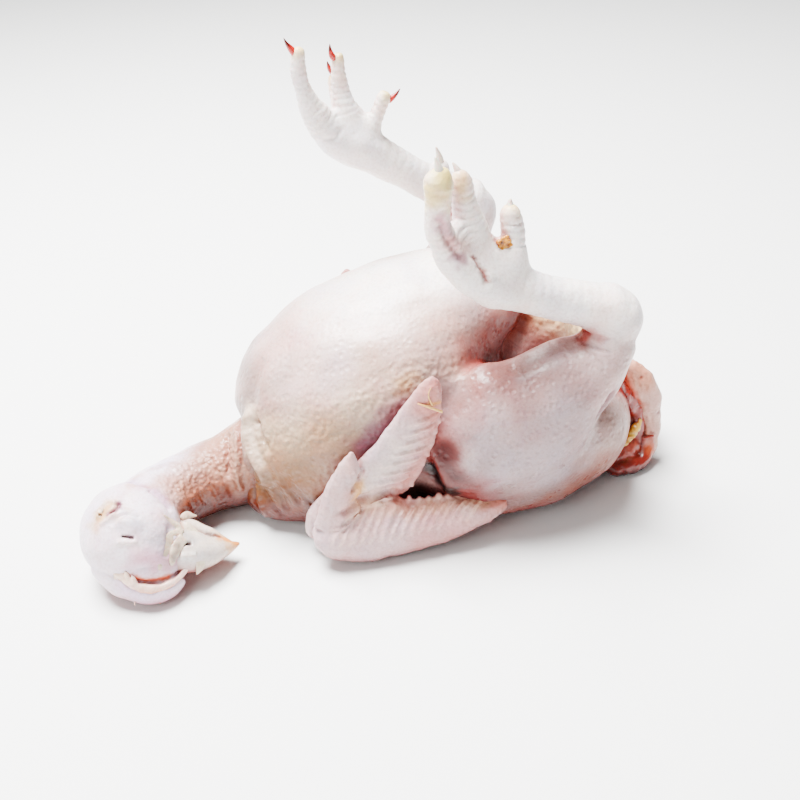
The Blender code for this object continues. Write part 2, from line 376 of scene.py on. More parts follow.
def makeDetailAndShadeGroup():
    group = bpy.data.node_groups.new("birdDetailAndShade", "ShaderNodeTree")
    for name, kind in (("Tone", "Color"), ("Pores", "Float"), ("Creases", "Float")):
        group.interface.new_socket(name, in_out="INPUT", socket_type="NodeSocket" + kind)
    for name, kind in (("Color", "Color"), ("Roughness", "Float"), ("Normal", "Vector")):
        group.interface.new_socket(name, in_out="OUTPUT", socket_type="NodeSocket" + kind)
    entry, leave = group.nodes.new("NodeGroupInput"), group.nodes.new("NodeGroupOutput")
    place = addNode(group, "TexCoord").outputs["Object"]
    colour = entry.outputs["Tone"]
    blotch = noise(group, place, detail["blotch"])
    colour = tinted(group, colour, spread(group, blotch, 0.5, 0.75), detail["rosyTint"])
    colour = tinted(group, colour, spread(group, blotch, 0.5, 0.25), detail["coolTint"])
    edges = addNode(group, "TexVoronoi", feature="DISTANCE_TO_EDGE")
    edges.inputs["Scale"].default_value = detail["vein"]
    bent = addNode(group, "VectorMath", operation="MULTIPLY_ADD")
    warp = addNode(group, "TexNoise")
    warp.inputs["Scale"].default_value = detail["vein"] * 2
    group.links.new(place, warp.inputs["Vector"])
    group.links.new(warp.outputs["Color"], bent.inputs[0])
    bent.inputs[1].default_value = (detail["veinBend"],) * 3
    group.links.new(place, bent.inputs[2])
    group.links.new(bent.outputs[0], edges.inputs["Vector"])
    vein = spread(group, edges.outputs["Distance"], detail["veinWidth"], 0.0)
    vein = mathNode(group, "MULTIPLY", vein, detail["veinStrength"])
    vein = mathNode(group, "MULTIPLY", vein, spread(group, blotch, 0.45, 0.6))
    colour = tinted(group, colour, vein, detail["veinTint"])
    grain = noise(group, place, detail["grain"], 2.0)
    colour = tinted(group, colour, spread(group, grain, 0.45, 0.7, 0.0, 0.6), detail["grainTint"])
    strong = addNode(group, "HueSaturation")
    strong.inputs["Saturation"].default_value = detail["saturation"]
    # painted shade: crevices found by the occlusion node are darkened towards the crevice tint
    nook = addNode(group, "AmbientOcclusion", samples=8)
    nook.inputs["Distance"].default_value = detail["nook"]
    colour = tinted(group, colour, spread(group, nook.outputs["AO"], 0.72, 0.12), detail["nookShadeTint"])
    group.links.new(colour, strong.inputs["Color"])
    deep = addNode(group, "Gamma")
    deep.inputs["Gamma"].default_value = detail["gamma"]
    group.links.new(strong.outputs["Color"], deep.inputs["Color"])
    group.links.new(deep.outputs["Color"], leave.inputs["Color"])
    group.links.new(spread(group, noise(group, place, detail["sheen"]), 0.35, 0.65, 0.26, 0.5),
                    leave.inputs["Roughness"])
    cells = addNode(group, "TexVoronoi")
    cells.inputs["Scale"].default_value = detail["pore"]
    group.links.new(place, cells.inputs["Vector"])
    pits = mathNode(group, "MULTIPLY", spread(group, cells.outputs["Distance"], 0.0, 0.5),
                    entry.outputs["Pores"])
    folds = mathNode(group, "MULTIPLY", noise(group, place, detail["wrinkle"], 5.0),
                     entry.outputs["Creases"])
    height = mathNode(group, "ADD", mathNode(group, "MULTIPLY", pits, 0.35),
                      mathNode(group, "MULTIPLY", folds, 1.3))
    height = mathNode(group, "ADD", height, mathNode(group, "MULTIPLY", grain, 0.12))
    bump = addNode(group, "Bump")
    bump.inputs["Distance"].default_value = detail["depth"]
    group.links.new(height, bump.inputs["Height"])
    group.links.new(bump.outputs["Normal"], leave.inputs["Normal"])
    return group


def paintedMaterial(name, coat=0.1, glow=0.12, glowDepth=0.003, transmission=0.0):
    material, tree, shader = newMaterial(name)
    group = bpy.data.node_groups.get("birdDetailAndShade") or makeDetailAndShadeGroup()
    pattern = addNode(tree, "Group", node_tree=group)
    for attribute, socket, output in (("tone", "Tone", "Color"), ("pores", "Pores", "Fac"),
                                      ("creases", "Creases", "Fac")):
        layer = addNode(tree, "Attribute", attribute_name=attribute)
        tree.links.new(layer.outputs[output], pattern.inputs[socket])
    tree.links.new(pattern.outputs["Color"], shader.inputs["Base Color"])
    tree.links.new(pattern.outputs["Roughness"], shader.inputs["Roughness"])
    tree.links.new(pattern.outputs["Normal"], shader.inputs["Normal"])
    shader.inputs["Subsurface Weight"].default_value = glow
    shader.inputs["Subsurface Scale"].default_value = glowDepth
    shader.inputs["Coat Weight"].default_value = coat
    shader.inputs["Coat Roughness"].default_value = 0.22
    shader.inputs["Specular IOR Level"].default_value = 0.3
    shader.inputs["Transmission Weight"].default_value = transmission
    return material


breastTract = [(-12.0, -3.8, 5.6), (-9.8, -5.2, 6.9), (-7.3, -5.7, 8.0), (-4.8, -5.7, 9.1),
               (-3.6, -5.3, 9.6)]
hipTract = [(-3.0, -5.3, 9.5), (-1.8, -5.2, 9.4)]
bellyMiddle = [(3.8, -1.3, 9.5), (5.0, -1.3, 8.9), (5.8, -1.2, 8.4)]

bodyLook = {    # colours are linear; paths are in squares
    "skin": (0.77, 0.675, 0.655),
    "rose": (0.62, 0.30, 0.27),
    "foot": (0.95, 0.92, 0.90),
    "pad": (0.83, 0.74, 0.47),
    "creases": [    # path, width, height
        ([(-10.8, -1.6, 9.1), (-11.2, -1.8, 8.2), (-11.8, -2.8, 6.8)], 0.5, -0.2),
        ([(-11.9, -3.1, 6.7), (-11.8, -4.1, 6.1), (-11.5, -4.8, 5.4)], 0.2, -0.24),
        ([(-12.8, -2.4, 5.0), (-12.6, -3.7, 4.6), (-12.6, -3.8, 2.8), (-12.3, -3.8, 1.2)], 0.24, -0.34),
        ([(-11.9, -4.5, 4.2), (-11.3, -5.1, 2.8), (-10.8, -5.2, 1.5)], 0.16, -0.12),
        ([(-11.4, -4.9, 4.9), (-10.8, -5.5, 3.6), (-10.1, -5.6, 2.4)], 0.16, -0.1),
        ([(-12.2, -4.2, 3.2), (-11.6, -4.8, 1.8), (-11.0, -5.0, 0.8)], 0.16, -0.14),
        ([(-10.9, -5.4, 4.7), (-10.2, -5.8, 3.3), (-9.3, -5.9, 2.3)], 0.18, -0.08),
        ([(2.9, -1.3, 10.1), (2.6, -1.9, 9.2), (2.2, -2.5, 8.3), (1.6, -3.4, 7.8)], 0.4, -0.4),
        ([(4.4, -5.3, 10.9), (5.0, -6.4, 11.05), (5.6, -6.8, 11.0)], 0.11, -0.12),
        ([(4.4, -5.6, 10.5), (5.0, -6.6, 10.5), (5.7, -7.0, 10.4)], 0.11, -0.12),
        ([(4.5, -5.9, 10.2), (5.0, -6.9, 10.0), (5.3, -7.1, 9.6)], 0.1, -0.08),
        ([(6.0, -7.0, 8.3), (5.5, -7.2, 7.3), (5.1, -7.3, 6.2), (4.6, -7.3, 4.9)], 0.24, -0.3),
        ([(-2.9, -6.4, 18.2), (-2.6, -6.3, 17.2), (-2.2, -6.2, 16.6), (-1.8, -6.1, 15.9)], 0.17, -0.2),
        ([(-1.2, -5.8, 15.9), (-0.9, -6.0, 15.3), (-0.6, -6.15, 14.6)], 0.13, -0.17),
        ([(0.3, -4.9, 16.9), (0.9, -5.2, 16.85), (1.4, -4.9, 16.8)], 0.1, -0.07),
        ([(0.4, -4.9, 17.2), (0.9, -5.1, 17.15), (1.4, -4.8, 17.1)], 0.08, -0.04),
        ([(-6.9, 3.8, 18.3), (-6.2, 4.1, 18.4), (-5.7, 4.4, 18.8)], 0.15, -0.1),
    ],
    "ridges": [
        ([(-11.9, -2.5, 7.0), (-12.3, -3.0, 6.1), (-12.35, -3.8, 5.3), (-11.9, -4.7, 4.4),
          (-11.8, -4.8, 3.1)], 0.28, 0.5),
        ([(-11.4, -4.2, 5.9), (-11.3, -5.0, 4.6), (-10.8, -5.4, 3.2), (-10.3, -5.5, 1.9)], 0.24, 0.12),
        ([(-12.5, -3.6, 3.4), (-12.2, -4.2, 1.8), (-11.9, -4.3, 0.7)], 0.22, 0.18),
        ([(-2.7, -5.8, 8.4), (-1.2, -5.4, 9.3), (1.0, -5.1, 10.0), (3.0, -5.0, 10.3),
          (4.5, -5.0, 10.5)], 0.32, 0.16),
        ([(-1.5, -6.0, 15.9), (-0.9, -6.1, 15.2), (-0.3, -6.1, 14.4)], 0.25, 0.12),
        ([(-2.35, -6.1, 16.9), (-1.9, -6.0, 16.4)], 0.3, 0.1),
    ],
    "pulls": [    # centre, radius, way
        ((0.2, -3.6, 9.0), 1.5, (0.2, 0.7, -1.0)),
        ((1.8, -2.6, 8.8), 1.3, (0.1, 0.6, -0.7)),
        ((4.7, -1.5, 9.0), 1.3, (0.1, -0.4, 0.4)),
    ],
    "tract": breastTract,
    "lowTract": [(-11.5, -4.9, 4.6), (-9.0, -6.2, 4.6), (-6.5, -6.3, 5.6)],
    "hipTract": hipTract,
    "belly": bellyMiddle,
    "washes": [    # path, radius, colour, strength
        # painted shade greying the front end of the breast
        ([(-12.0, -2.0, 8.0), (-12.3, -2.6, 6.6), (-11.9, -4.0, 4.4)], 1.4, (0.53, 0.47, 0.45), 0.85),
        # painted shade, brownish, on the lower side of the breast
        ([(-10.6, -5.5, 5.2), (-8.9, -5.8, 6.2), (-7.4, -6.3, 6.2)], 1.7, (0.49, 0.40, 0.34), 0.9),
        # the next two are partly the breast's own orange-brown skin, partly painted shade, darkest at the
        # table
        ([(-11.8, -4.5, 2.6), (-10.7, -5.3, 2.8), (-9.4, -5.7, 2.8)], 1.8, (0.41, 0.27, 0.15), 1.0),
        ([(-12.2, -3.6, 0.7), (-10.5, -5.1, 0.9), (-9.0, -5.4, 0.7)], 1.1, (0.36, 0.14, 0.05), 0.95),
        (breastTract, 1.4, (0.70, 0.62, 0.50), 0.55),
        ([(-11.5, -4.9, 4.6), (-9.0, -6.2, 4.6)], 1.2, (0.60, 0.50, 0.38), 0.4),
        (hipTract, 0.9, (0.70, 0.62, 0.52), 0.45),
        ([(-4.6, -5.7, 9.1), (-4.3, -5.7, 9.3)], 0.45, (0.72, 0.56, 0.30), 0.7),
        # partly reddish veined skin, partly painted shade between the breast and the wing
        ([(-4.8, -6.2, 8.2), (-5.7, -6.3, 7.2), (-6.8, -6.4, 6.0)], 0.75, (0.42, 0.26, 0.30), 0.9),
        ([(-4.2, -5.4, 10.3), (-2.6, -3.6, 11.4), (-1.0, -3.4, 11.4)], 1.7, (0.67, 0.56, 0.52), 0.7),
        ([(-1.0, -7.6, 5.0), (2.0, -7.7, 7.0), (3.8, -7.2, 8.0), (2.0, -7.9, 4.0), (-0.6, -7.5, 6.6)],
         2.6, (0.59, 0.535, 0.55), 0.85),
        ([(-1.8, -6.2, 8.4), (0.6, -6.6, 9.2), (3.0, -6.6, 9.5)], 1.2, (0.54, 0.44, 0.43), 0.8),
        # painted shade low on the thigh near the table
        ([(-1.2, -7.8, 2.9), (2.0, -7.7, 2.2), (4.5, -6.8, 2.0)], 1.3, (0.45, 0.37, 0.36), 0.85),
        # partly the thigh's red underside, partly painted shade
        ([(4.2, -7.1, 2.2), (5.4, -6.5, 2.8), (6.6, -5.7, 3.4)], 1.0, (0.50, 0.31, 0.26), 0.8),
        ([(6.4, -5.9, 6.0), (6.6, -5.8, 4.4)], 1.4, (0.63, 0.53, 0.50), 0.6),
        # partly the red underside skin, partly painted contact shadow where the thigh meets the table
        ([(1.0, -7.2, 0.7), (4.0, -6.4, 0.6), (6.6, -4.8, 0.9), (8.2, -3.0, 1.8)], 0.9,
         (0.52, 0.20, 0.16), 0.75),
        # painted shade in the fold between drumstick and body, its deep red partly the fold's own skin; the
        # next wash is a softer red around it
        ([(-0.6, -4.0, 8.3), (1.0, -3.0, 8.4), (2.0, -2.2, 9.2), (2.6, -1.6, 10.2)], 1.0,
         (0.32, 0.06, 0.05), 0.95),
        ([(-1.0, -4.6, 9.2), (0.8, -3.6, 9.8), (2.0, -2.0, 10.8)], 1.5, (0.60, 0.32, 0.29), 0.5),
        (bellyMiddle, 1.2, (0.86, 0.76, 0.60), 0.9),
        # painted shade in the gap between the wing and the thigh, darkening to near black deep in it
        ([(-3.0, -6.6, 5.6), (-2.6, -7.0, 4.4), (-1.3, -7.6, 2.9)], 0.95, (0.42, 0.17, 0.16), 0.85),
        ([(-2.9, -7.2, 6.1), (-2.9, -7.45, 5.4), (-2.4, -7.7, 4.7)], 0.8, (0.29, 0.09, 0.08), 0.95),
        ([(-3.4, -6.5, 4.6), (-3.0, -6.9, 4.0), (-2.5, -7.2, 3.6)], 0.45, (0.06, 0.015, 0.015), 0.95),
        # painted shadow behind the wing by the elbow
        ([(-4.4, -5.0, 4.4), (-3.9, -5.4, 3.2), (-3.6, -5.6, 2.0)], 1.2, (0.12, 0.03, 0.03), 0.95),
        ([(-2.0, -6.2, 1.5), (-0.8, -6.6, 1.4)], 0.6, (0.72, 0.52, 0.48), 0.7),
        # painted shade in the recess where the thigh, trunk and tail flap meet
        ([(7.6, -3.6, 6.2), (8.3, -3.3, 5.0), (8.9, -3.0, 3.8)], 0.5, (0.42, 0.09, 0.08), 0.95),
    ],
    "marks": [
        ([(-12.1, -2.7, 6.8), (-12.35, -3.4, 5.8), (-12.0, -4.6, 4.6)], 0.34, (0.88, 0.80, 0.73), 0.6),
        # partly the red skin of the creases, partly painted shade in the inner corner at the hock
        ([(4.4, -5.2, 10.8), (5.0, -5.6, 10.7)], 0.5, (0.50, 0.14, 0.11), 0.75),
        # painted shade along the crease at the back of the thigh
        ([(5.9, -7.0, 8.2), (5.4, -7.2, 7.0), (4.7, -7.3, 5.2)], 0.3, (0.46, 0.34, 0.36), 0.6),
        ([(-2.85, -6.4, 18.1), (-2.5, -6.3, 17.1), (-2.1, -6.2, 16.4), (-1.8, -6.1, 15.9)], 0.3,
         (0.62, 0.44, 0.48), 0.7),
        ([(-1.2, -5.8, 15.8), (-0.9, -6.0, 15.3), (-0.6, -6.15, 14.7)], 0.13, (0.42, 0.22, 0.20), 0.85),
        ([(-2.3, -5.9, 16.8), (-1.7, -5.6, 16.2)], 0.4, (0.84, 0.66, 0.62), 0.5),
        ([(-2.9, -6.3, 19.4), (-2.7, -6.3, 20.1)], 0.7, (0.84, 0.77, 0.48), 0.9),
        ([(-1.6, -5.0, 18.9), (-1.5, -5.0, 19.5)], 0.42, (0.86, 0.78, 0.58), 0.8),
        ([(-0.5, -4.7, 14.5), (0.4, -5.2, 14.2)], 1.2, (0.84, 0.80, 0.79), 0.4),
        ([(-2.4, -4.6, 18.3), (-2.1, -4.6, 16.9)], 0.4, (0.74, 0.64, 0.66), 0.5),
    ],
}


def softTrunk(bm):
    w, h = 6.5, 6.1
    shape = [
        (-12.5, -1.8, 4.0, 0.05, 0.08, 0.10),
        (-12.1, -1.8, 4.1, 0.25, 0.32, 0.48),
        (-11.1, -1.4, 4.5, 0.54, 0.58, 0.68),
        (-9.4, -0.9, 5.1, 0.78, 0.78, 0.83),
        (-7.0, -0.4, 5.7, 0.94, 0.94, 0.93),
        (-4.0, 0.0, 6.1, 1.00, 1.04, 1.00),
        (-1.0, 0.4, 6.1, 0.80, 1.12, 1.00),
        (2.0, 0.8, 5.8, 0.50, 0.97, 0.95),
        (4.6, 0.3, 5.1, 0.42, 0.66, 0.84),
        (7.0, -0.4, 4.2, 0.42, 0.50, 0.70),
        (9.0, -0.5, 3.4, 0.29, 0.36, 0.54),
        (10.0, -0.5, 2.9, 0.17, 0.26, 0.38),
        (10.4, -0.7, 2.8, 0.1, 0.1, 0.12),
    ]
    sweep(bm, [(x, y, z, w * a, h * b, h * c) for x, y, z, a, b, c in shape], full=0.75)
    for side in (-1, 1):
        def y(out):
            return side * out - 0.2
        sweep(bm, [(-11.9, y(1.6), 2.6, 1.4, 2.0), (-10.9, y(2.2), 3.2, 2.5, 3.1),
                   (-8.6, y(2.9), 4.2, 3.2, 4.2),
                   (-5.4, y(3.4), 4.6, 3.0, 4.5), (-2.5, y(3.4), 4.4, 1.9, 3.2)], full=0.75)
        sweep(bm, [(-8.2, y(3.6), 2.2, 1.6, 1.6), (-5.6, y(4.3), 1.7, 1.3, 1.1),
                   (-2.6, y(5.0), 1.2, 1.0, 0.8),
                   (-0.6, y(6.0), 1.2, 0.8, 0.7)])
    sweep(bm, [(-12.1, 0.2, 1.6, 1.1, 1.5), (-12.0, -2.1, 1.5, 1.4, 1.5), (-11.0, -2.9, 1.9, 2.0, 1.9),
               (-9.2, -3.2, 2.4, 2.5, 2.4), (-6.6, -3.4, 2.8, 2.6, 2.8)], full=0.75)


nearLeg = {
    "side": -1,
    "drum": [    # x, y, z, half width in the leg's plane, outward, inward
        (-3.0, -5.2, 4.3, 2.4, 2.3, 2.2), (-0.6, -5.3, 5.1, 3.7, 2.9, 2.3),
        (1.8, -5.3, 6.2, 4.0, 3.0, 2.1),
        (3.6, -5.3, 7.7, 2.8, 2.6, 1.7), (5.4, -5.4, 9.3, 1.7, 1.9, 1.5),
        (6.2, -5.4, 10.6, 1.35, 1.5, 1.4),
    ],
    "thigh": [    # x, y, z, half width across, up, down
        (-3.7, -4.7, 3.6, 1.5, 1.9, 2.0), (-1.0, -4.9, 3.4, 2.8, 3.0, 3.1),
        (2.2, -4.7, 3.4, 2.9, 3.0, 3.4),
        (5.0, -3.9, 3.6, 2.7, 3.0, 3.3), (6.8, -3.0, 3.8, 2.1, 2.6, 3.0),
        (7.9, -2.4, 3.9, 1.2, 1.6, 1.8),
    ],
    "calf": [(-2.7, -5.2, 3.5, 2.0, 2.0), (0.6, -5.4, 3.6, 2.5, 2.6), (3.2, -5.1, 3.8, 2.4, 2.5),
             (5.2, -4.4, 4.2, 1.6, 1.8)],
    "hock": ((6.05, -5.4, 11.4), (1.5, 1.5, 1.65)),
    "shank": [
        (6.0, -5.4, 12.0, 1.3, 1.35, 1.3), (4.6, -5.3, 12.35, 1.15, 1.15, 1.15),
        (2.6, -5.1, 12.95, 1.08, 1.0, 1.0),
        (1.0, -4.9, 13.5, 1.13, 1.1, 1.1), (-0.3, -4.7, 14.1, 1.25, 1.35, 1.35),
    ],
}
farLeg = {
    "side": 1,
    "drum": [
        (-1.7, 5.0, 3.6, 2.4, 2.5, 2.2), (-0.7, 5.4, 5.0, 3.2, 3.0, 2.4), (0.0, 5.7, 7.0, 3.0, 2.9, 2.2),
        (0.4, 5.7, 9.0, 2.2, 2.4, 1.8), (0.9, 5.5, 10.8, 1.6, 1.7, 1.5),
        (1.35, 5.4, 12.2, 1.4, 1.45, 1.4),
    ],
    "thigh": [
        (-1.8, 4.7, 3.6, 1.4, 1.9, 2.0), (0.0, 4.9, 3.4, 2.8, 3.0, 3.1), (2.6, 4.6, 3.4, 2.9, 3.0, 3.3),
        (5.2, 3.6, 3.5, 2.7, 2.9, 3.2), (6.8, 2.3, 3.6, 2.1, 2.6, 2.9), (8.0, 1.2, 3.6, 1.2, 1.6, 1.8),
    ],
    "calf": [(-1.4, 5.3, 3.4, 2.0, 2.0), (0.6, 5.4, 3.6, 2.5, 2.6), (2.8, 5.0, 4.0, 2.4, 2.5),
             (4.6, 4.2, 4.4, 1.6, 1.8)],
    "hock": ((1.4, 5.4, 12.9), (1.55, 1.4, 1.65)),
    "shank": [
        (1.5, 5.4, 13.5, 1.4, 1.3, 1.3), (0.2, 5.4, 14.2, 1.15, 1.1, 1.1),
        (-1.9, 5.3, 15.5, 1.0, 0.95, 0.95),
        (-3.8, 5.2, 16.8, 1.08, 1.05, 1.05), (-5.2, 5.2, 17.6, 1.2, 1.3, 1.3),
    ],
}
feet = {
    "palms": [    # x, y, z, radius at each joint; blended softly into the shanks
        [(0.3, -4.8, 13.8, 1.35), (-0.9, -5.2, 14.5, 1.1), (-1.9, -5.4, 15.4, 0.85),
         (-2.5, -5.5, 16.4, 0.72)],
        [(0.3, -4.7, 14.0, 1.3), (-0.2, -4.7, 14.9, 1.05), (-0.8, -4.6, 15.9, 0.9),
         (-1.1, -4.6, 16.9, 0.78)],
        [(0.2, -4.4, 14.0, 1.2), (-0.6, -3.8, 15.2, 1.0), (-1.5, -3.2, 16.4, 0.72)],
        [(0.6, -4.7, 14.0, 1.2), (0.85, -4.7, 15.0, 1.0), (1.0, -4.6, 15.8, 0.62)],
        [(-1.6, -5.2, 15.8, 0.6), (-1.75, -5.1, 16.6, 0.55), (-1.9, -5.1, 17.3, 0.35)],
        [(-4.9, 5.2, 17.5, 1.25), (-5.9, 5.0, 18.0, 1.05), (-6.7, 4.8, 18.9, 0.85),
         (-7.1, 4.6, 19.8, 0.72)],
        [(-4.9, 5.3, 17.6, 1.2), (-5.2, 5.4, 18.6, 0.95), (-5.35, 5.5, 19.5, 0.75)],
        [(-4.9, 5.6, 17.6, 1.1), (-5.3, 6.4, 18.6, 0.8), (-5.4, 6.9, 19.3, 0.6)],
        [(-4.7, 5.2, 17.5, 1.1), (-4.3, 5.2, 18.1, 0.8), (-3.9, 5.2, 18.8, 0.52)],
    ],
    "toes": [
        [(-2.1, -5.5, 15.7, 0.75), (-2.75, -5.7, 17.2, 0.62), (-2.85, -5.9, 18.2, 0.58),
         (-2.85, -6.0, 19.0, 0.6),
         (-2.8, -6.0, 19.6, 0.66), (-2.7, -6.0, 20.0, 0.5)],
        [(-0.9, -4.6, 16.2, 0.84), (-1.2, -4.6, 17.3, 0.72), (-1.4, -4.6, 18.2, 0.56),
         (-1.5, -4.6, 18.9, 0.52),
         (-1.55, -4.6, 19.3, 0.4)],
        [(-1.2, -3.3, 16.0, 0.72), (-1.9, -3.0, 17.6, 0.6), (-2.1, -2.9, 18.6, 0.5),
         (-2.1, -2.9, 19.2, 0.42)],
        [(0.95, -4.65, 15.4, 0.66), (1.0, -4.6, 16.1, 0.56), (0.92, -4.5, 16.8, 0.54),
         (0.85, -4.5, 17.3, 0.48)],
        [(-6.6, 4.8, 18.6, 0.82), (-7.25, 4.6, 20.0, 0.6), (-7.6, 4.5, 21.1, 0.42),
         (-7.7, 4.45, 22.1, 0.38),
         (-7.6, 4.4, 22.8, 0.34)],
        [(-5.3, 5.4, 19.0, 0.78), (-5.5, 5.5, 20.2, 0.52), (-5.6, 5.5, 21.2, 0.38),
         (-5.55, 5.5, 22.1, 0.32)],
        [(-5.3, 6.5, 18.7, 0.62), (-5.5, 7.2, 19.8, 0.48), (-5.6, 7.3, 20.5, 0.38)],
        [(-4.05, 5.2, 18.5, 0.52), (-3.7, 5.2, 19.1, 0.42), (-3.3, 5.2, 20.0, 0.36)],
    ],
}


def leg(bm, limbs):
    up = (0.0, limbs["side"], 0.0)
    sweep(bm, limbs["drum"], up=up)
    sweep(bm, limbs["thigh"])
    sweep(bm, limbs["calf"])
    lump(bm, *limbs["hock"])
    sweep(bm, limbs["shank"], up=up)


def toe(bm, joints):    # tube with a rounded end
    last, before = Vector(joints[-1][:3]), Vector(joints[-2][:3])
    r = joints[-1][3]
    end = last + (last - before).normalized() * r * 0.6
    tube(bm, joints + [(*end, r * 0.5)])


def near(points, path, radius):    # 1 on the path, falling to 0 past radius
    distance, share = distanceTo(points, curved(path))
    return np.exp(-(distance / radius) ** 2)


def scutes(clay, joints, spacing, depth):    # horny bands across a toe or shank
    path = curved([joint[:3] for joint in joints])
    distance, share = distanceTo(clay.at, path)
    length = sum((Vector(b) - Vector(a)).length for a, b in zip(path[:-1], path[1:]))
    along = share * length + 0.05 * roll(clay.at, 0.7, 17)
    bands = np.abs(np.sin(math.pi * along / spacing)) ** 0.6 - 0.6
    clay.lift(depth * bands * inRange(-distance, -1.4, -1.0) * inRange(share, 0.02,
                                                                       0.12) * inRange(-share, -0.99,
                                                                                       -0.9))


def sculptBody(mesh):
    look = bodyLook
    clay = Clay(mesh)
    for centre, radius, way in look["pulls"]:
        clay.pull(centre, radius, way)
    clay.refresh()
    for path, width, height in look["ridges"] + look["creases"]:
        clay.stroke(path, width, height)
    clay.refresh()
    trunk = inRange(-clay.at[:, 2], -13.0, -11.0)
    clay.lift(0.05 * roll(clay.at, 3.5, 5) * trunk + 0.022 * roll(clay.at, 1.3, 6))
    clay.bumps(near(clay.at, look["tract"], 1.1), 0.36, 0.14, 0.075, 11)
    clay.bumps(near(clay.at, look["lowTract"], 1.2), 0.42, 0.15, 0.045, 12)
    clay.bumps(near(clay.at, look["hipTract"], 0.8), 0.36, 0.14, 0.06, 13)
    clay.bumps(near(clay.at, look["belly"], 0.9), 0.34, 0.14, 0.09, 14)
    for joints in feet["toes"]:
        scutes(clay, joints, 0.34, 0.06)
    for limbs in (nearLeg, farLeg):
        scutes(clay, limbs["shank"], 0.5, 0.03)
    mirrored = clay.at * np.array((1.0, -1.0, 1.0)) - np.array((0.0, 0.4, 0.0))
    for name, seed in (("tract", 15), ("lowTract", 16)):
        clay.bumps(near(mirrored, look[name], 1.1) * (clay.at[:, 1] > 0), 0.40, 0.15, 0.06, seed)
    clay.at[:, 2] = np.maximum(clay.at[:, 2], 0.0)
    clay.refresh()


def paintBody(mesh):
    look = bodyLook
    points = readPoints(mesh)
    paint = Paint(points, look["skin"])
    x, y, z = points.T
    foot = inRange(z, 9.6, 12.6) * inRange(-y, -8.0, -2.0)
    foot = np.maximum(foot, inRange(z, 12.0, 13.5))
    paint.blend(look["foot"], foot)
    # redder and darker towards the table: partly the skin's own redder underside, partly painted shade
    low = inRange(-z, -5.0, 0.5) * (1 - foot)
    paint.blend(look["rose"], 0.22 * low)
    for side in (1.0, -1.0):    # the far side is coloured as the near one
        paint.at = points * np.array((1.0, side, 1.0)) - np.array((0.0, 0.2 - 0.2 * side, 0.0))
        for i, (path, radius, colour, strength) in enumerate(look["washes"]):
            paint.wash(path, radius, colour, strength, 0.35, 200 + i)
    paint.at = points
    for i, (path, radius, colour, strength) in enumerate(look["marks"]):
        paint.wash(path, radius, colour, strength, 0.3, 240 + i)
    for spot in ((-7.6, 4.4, 22.9), (-5.5, 5.4, 22.3), (-5.6, 7.3, 20.8), (-3.2, 5.2, 20.2),
                 (0.85, -4.5, 17.9)):
        paint.wash([spot], 0.5, look["pad"], 0.75, 0.2, 41)
        paint.wash([(spot[0], spot[1], spot[2] - 0.9)], 0.6, (0.90, 0.74, 0.68), 0.35, 0.4, 42)
    front = inRange(-x, 9.0, 12.2) * inRange(-z, -6.5, -0.5)
    paint.pores = np.clip(1.0 - 0.7 * foot, 0, 1)
    paint.creases = np.clip(front + 0.5 * low + 0.35 * foot, 0, 1)
    paint.store(mesh)


def makeBody():
    bm = bmesh.new()
    softTrunk(bm)
    for limbs in (nearLeg, farLeg):
        leg(bm, limbs)
    for joints in feet["palms"]:
        toe(bm, joints)
    bm = reopened(fuse(bm, 0.2, 0.32))
    for joints in feet["toes"]:
        toe(bm, joints)
    mesh = fuse(bm, fineness["voxel"], 0.15)
    sculptBody(mesh)
    mesh = thinned(mesh, fineness["bodyFaces"])
    paintBody(mesh)
    finishPiece("bodySkin", mesh, skin)


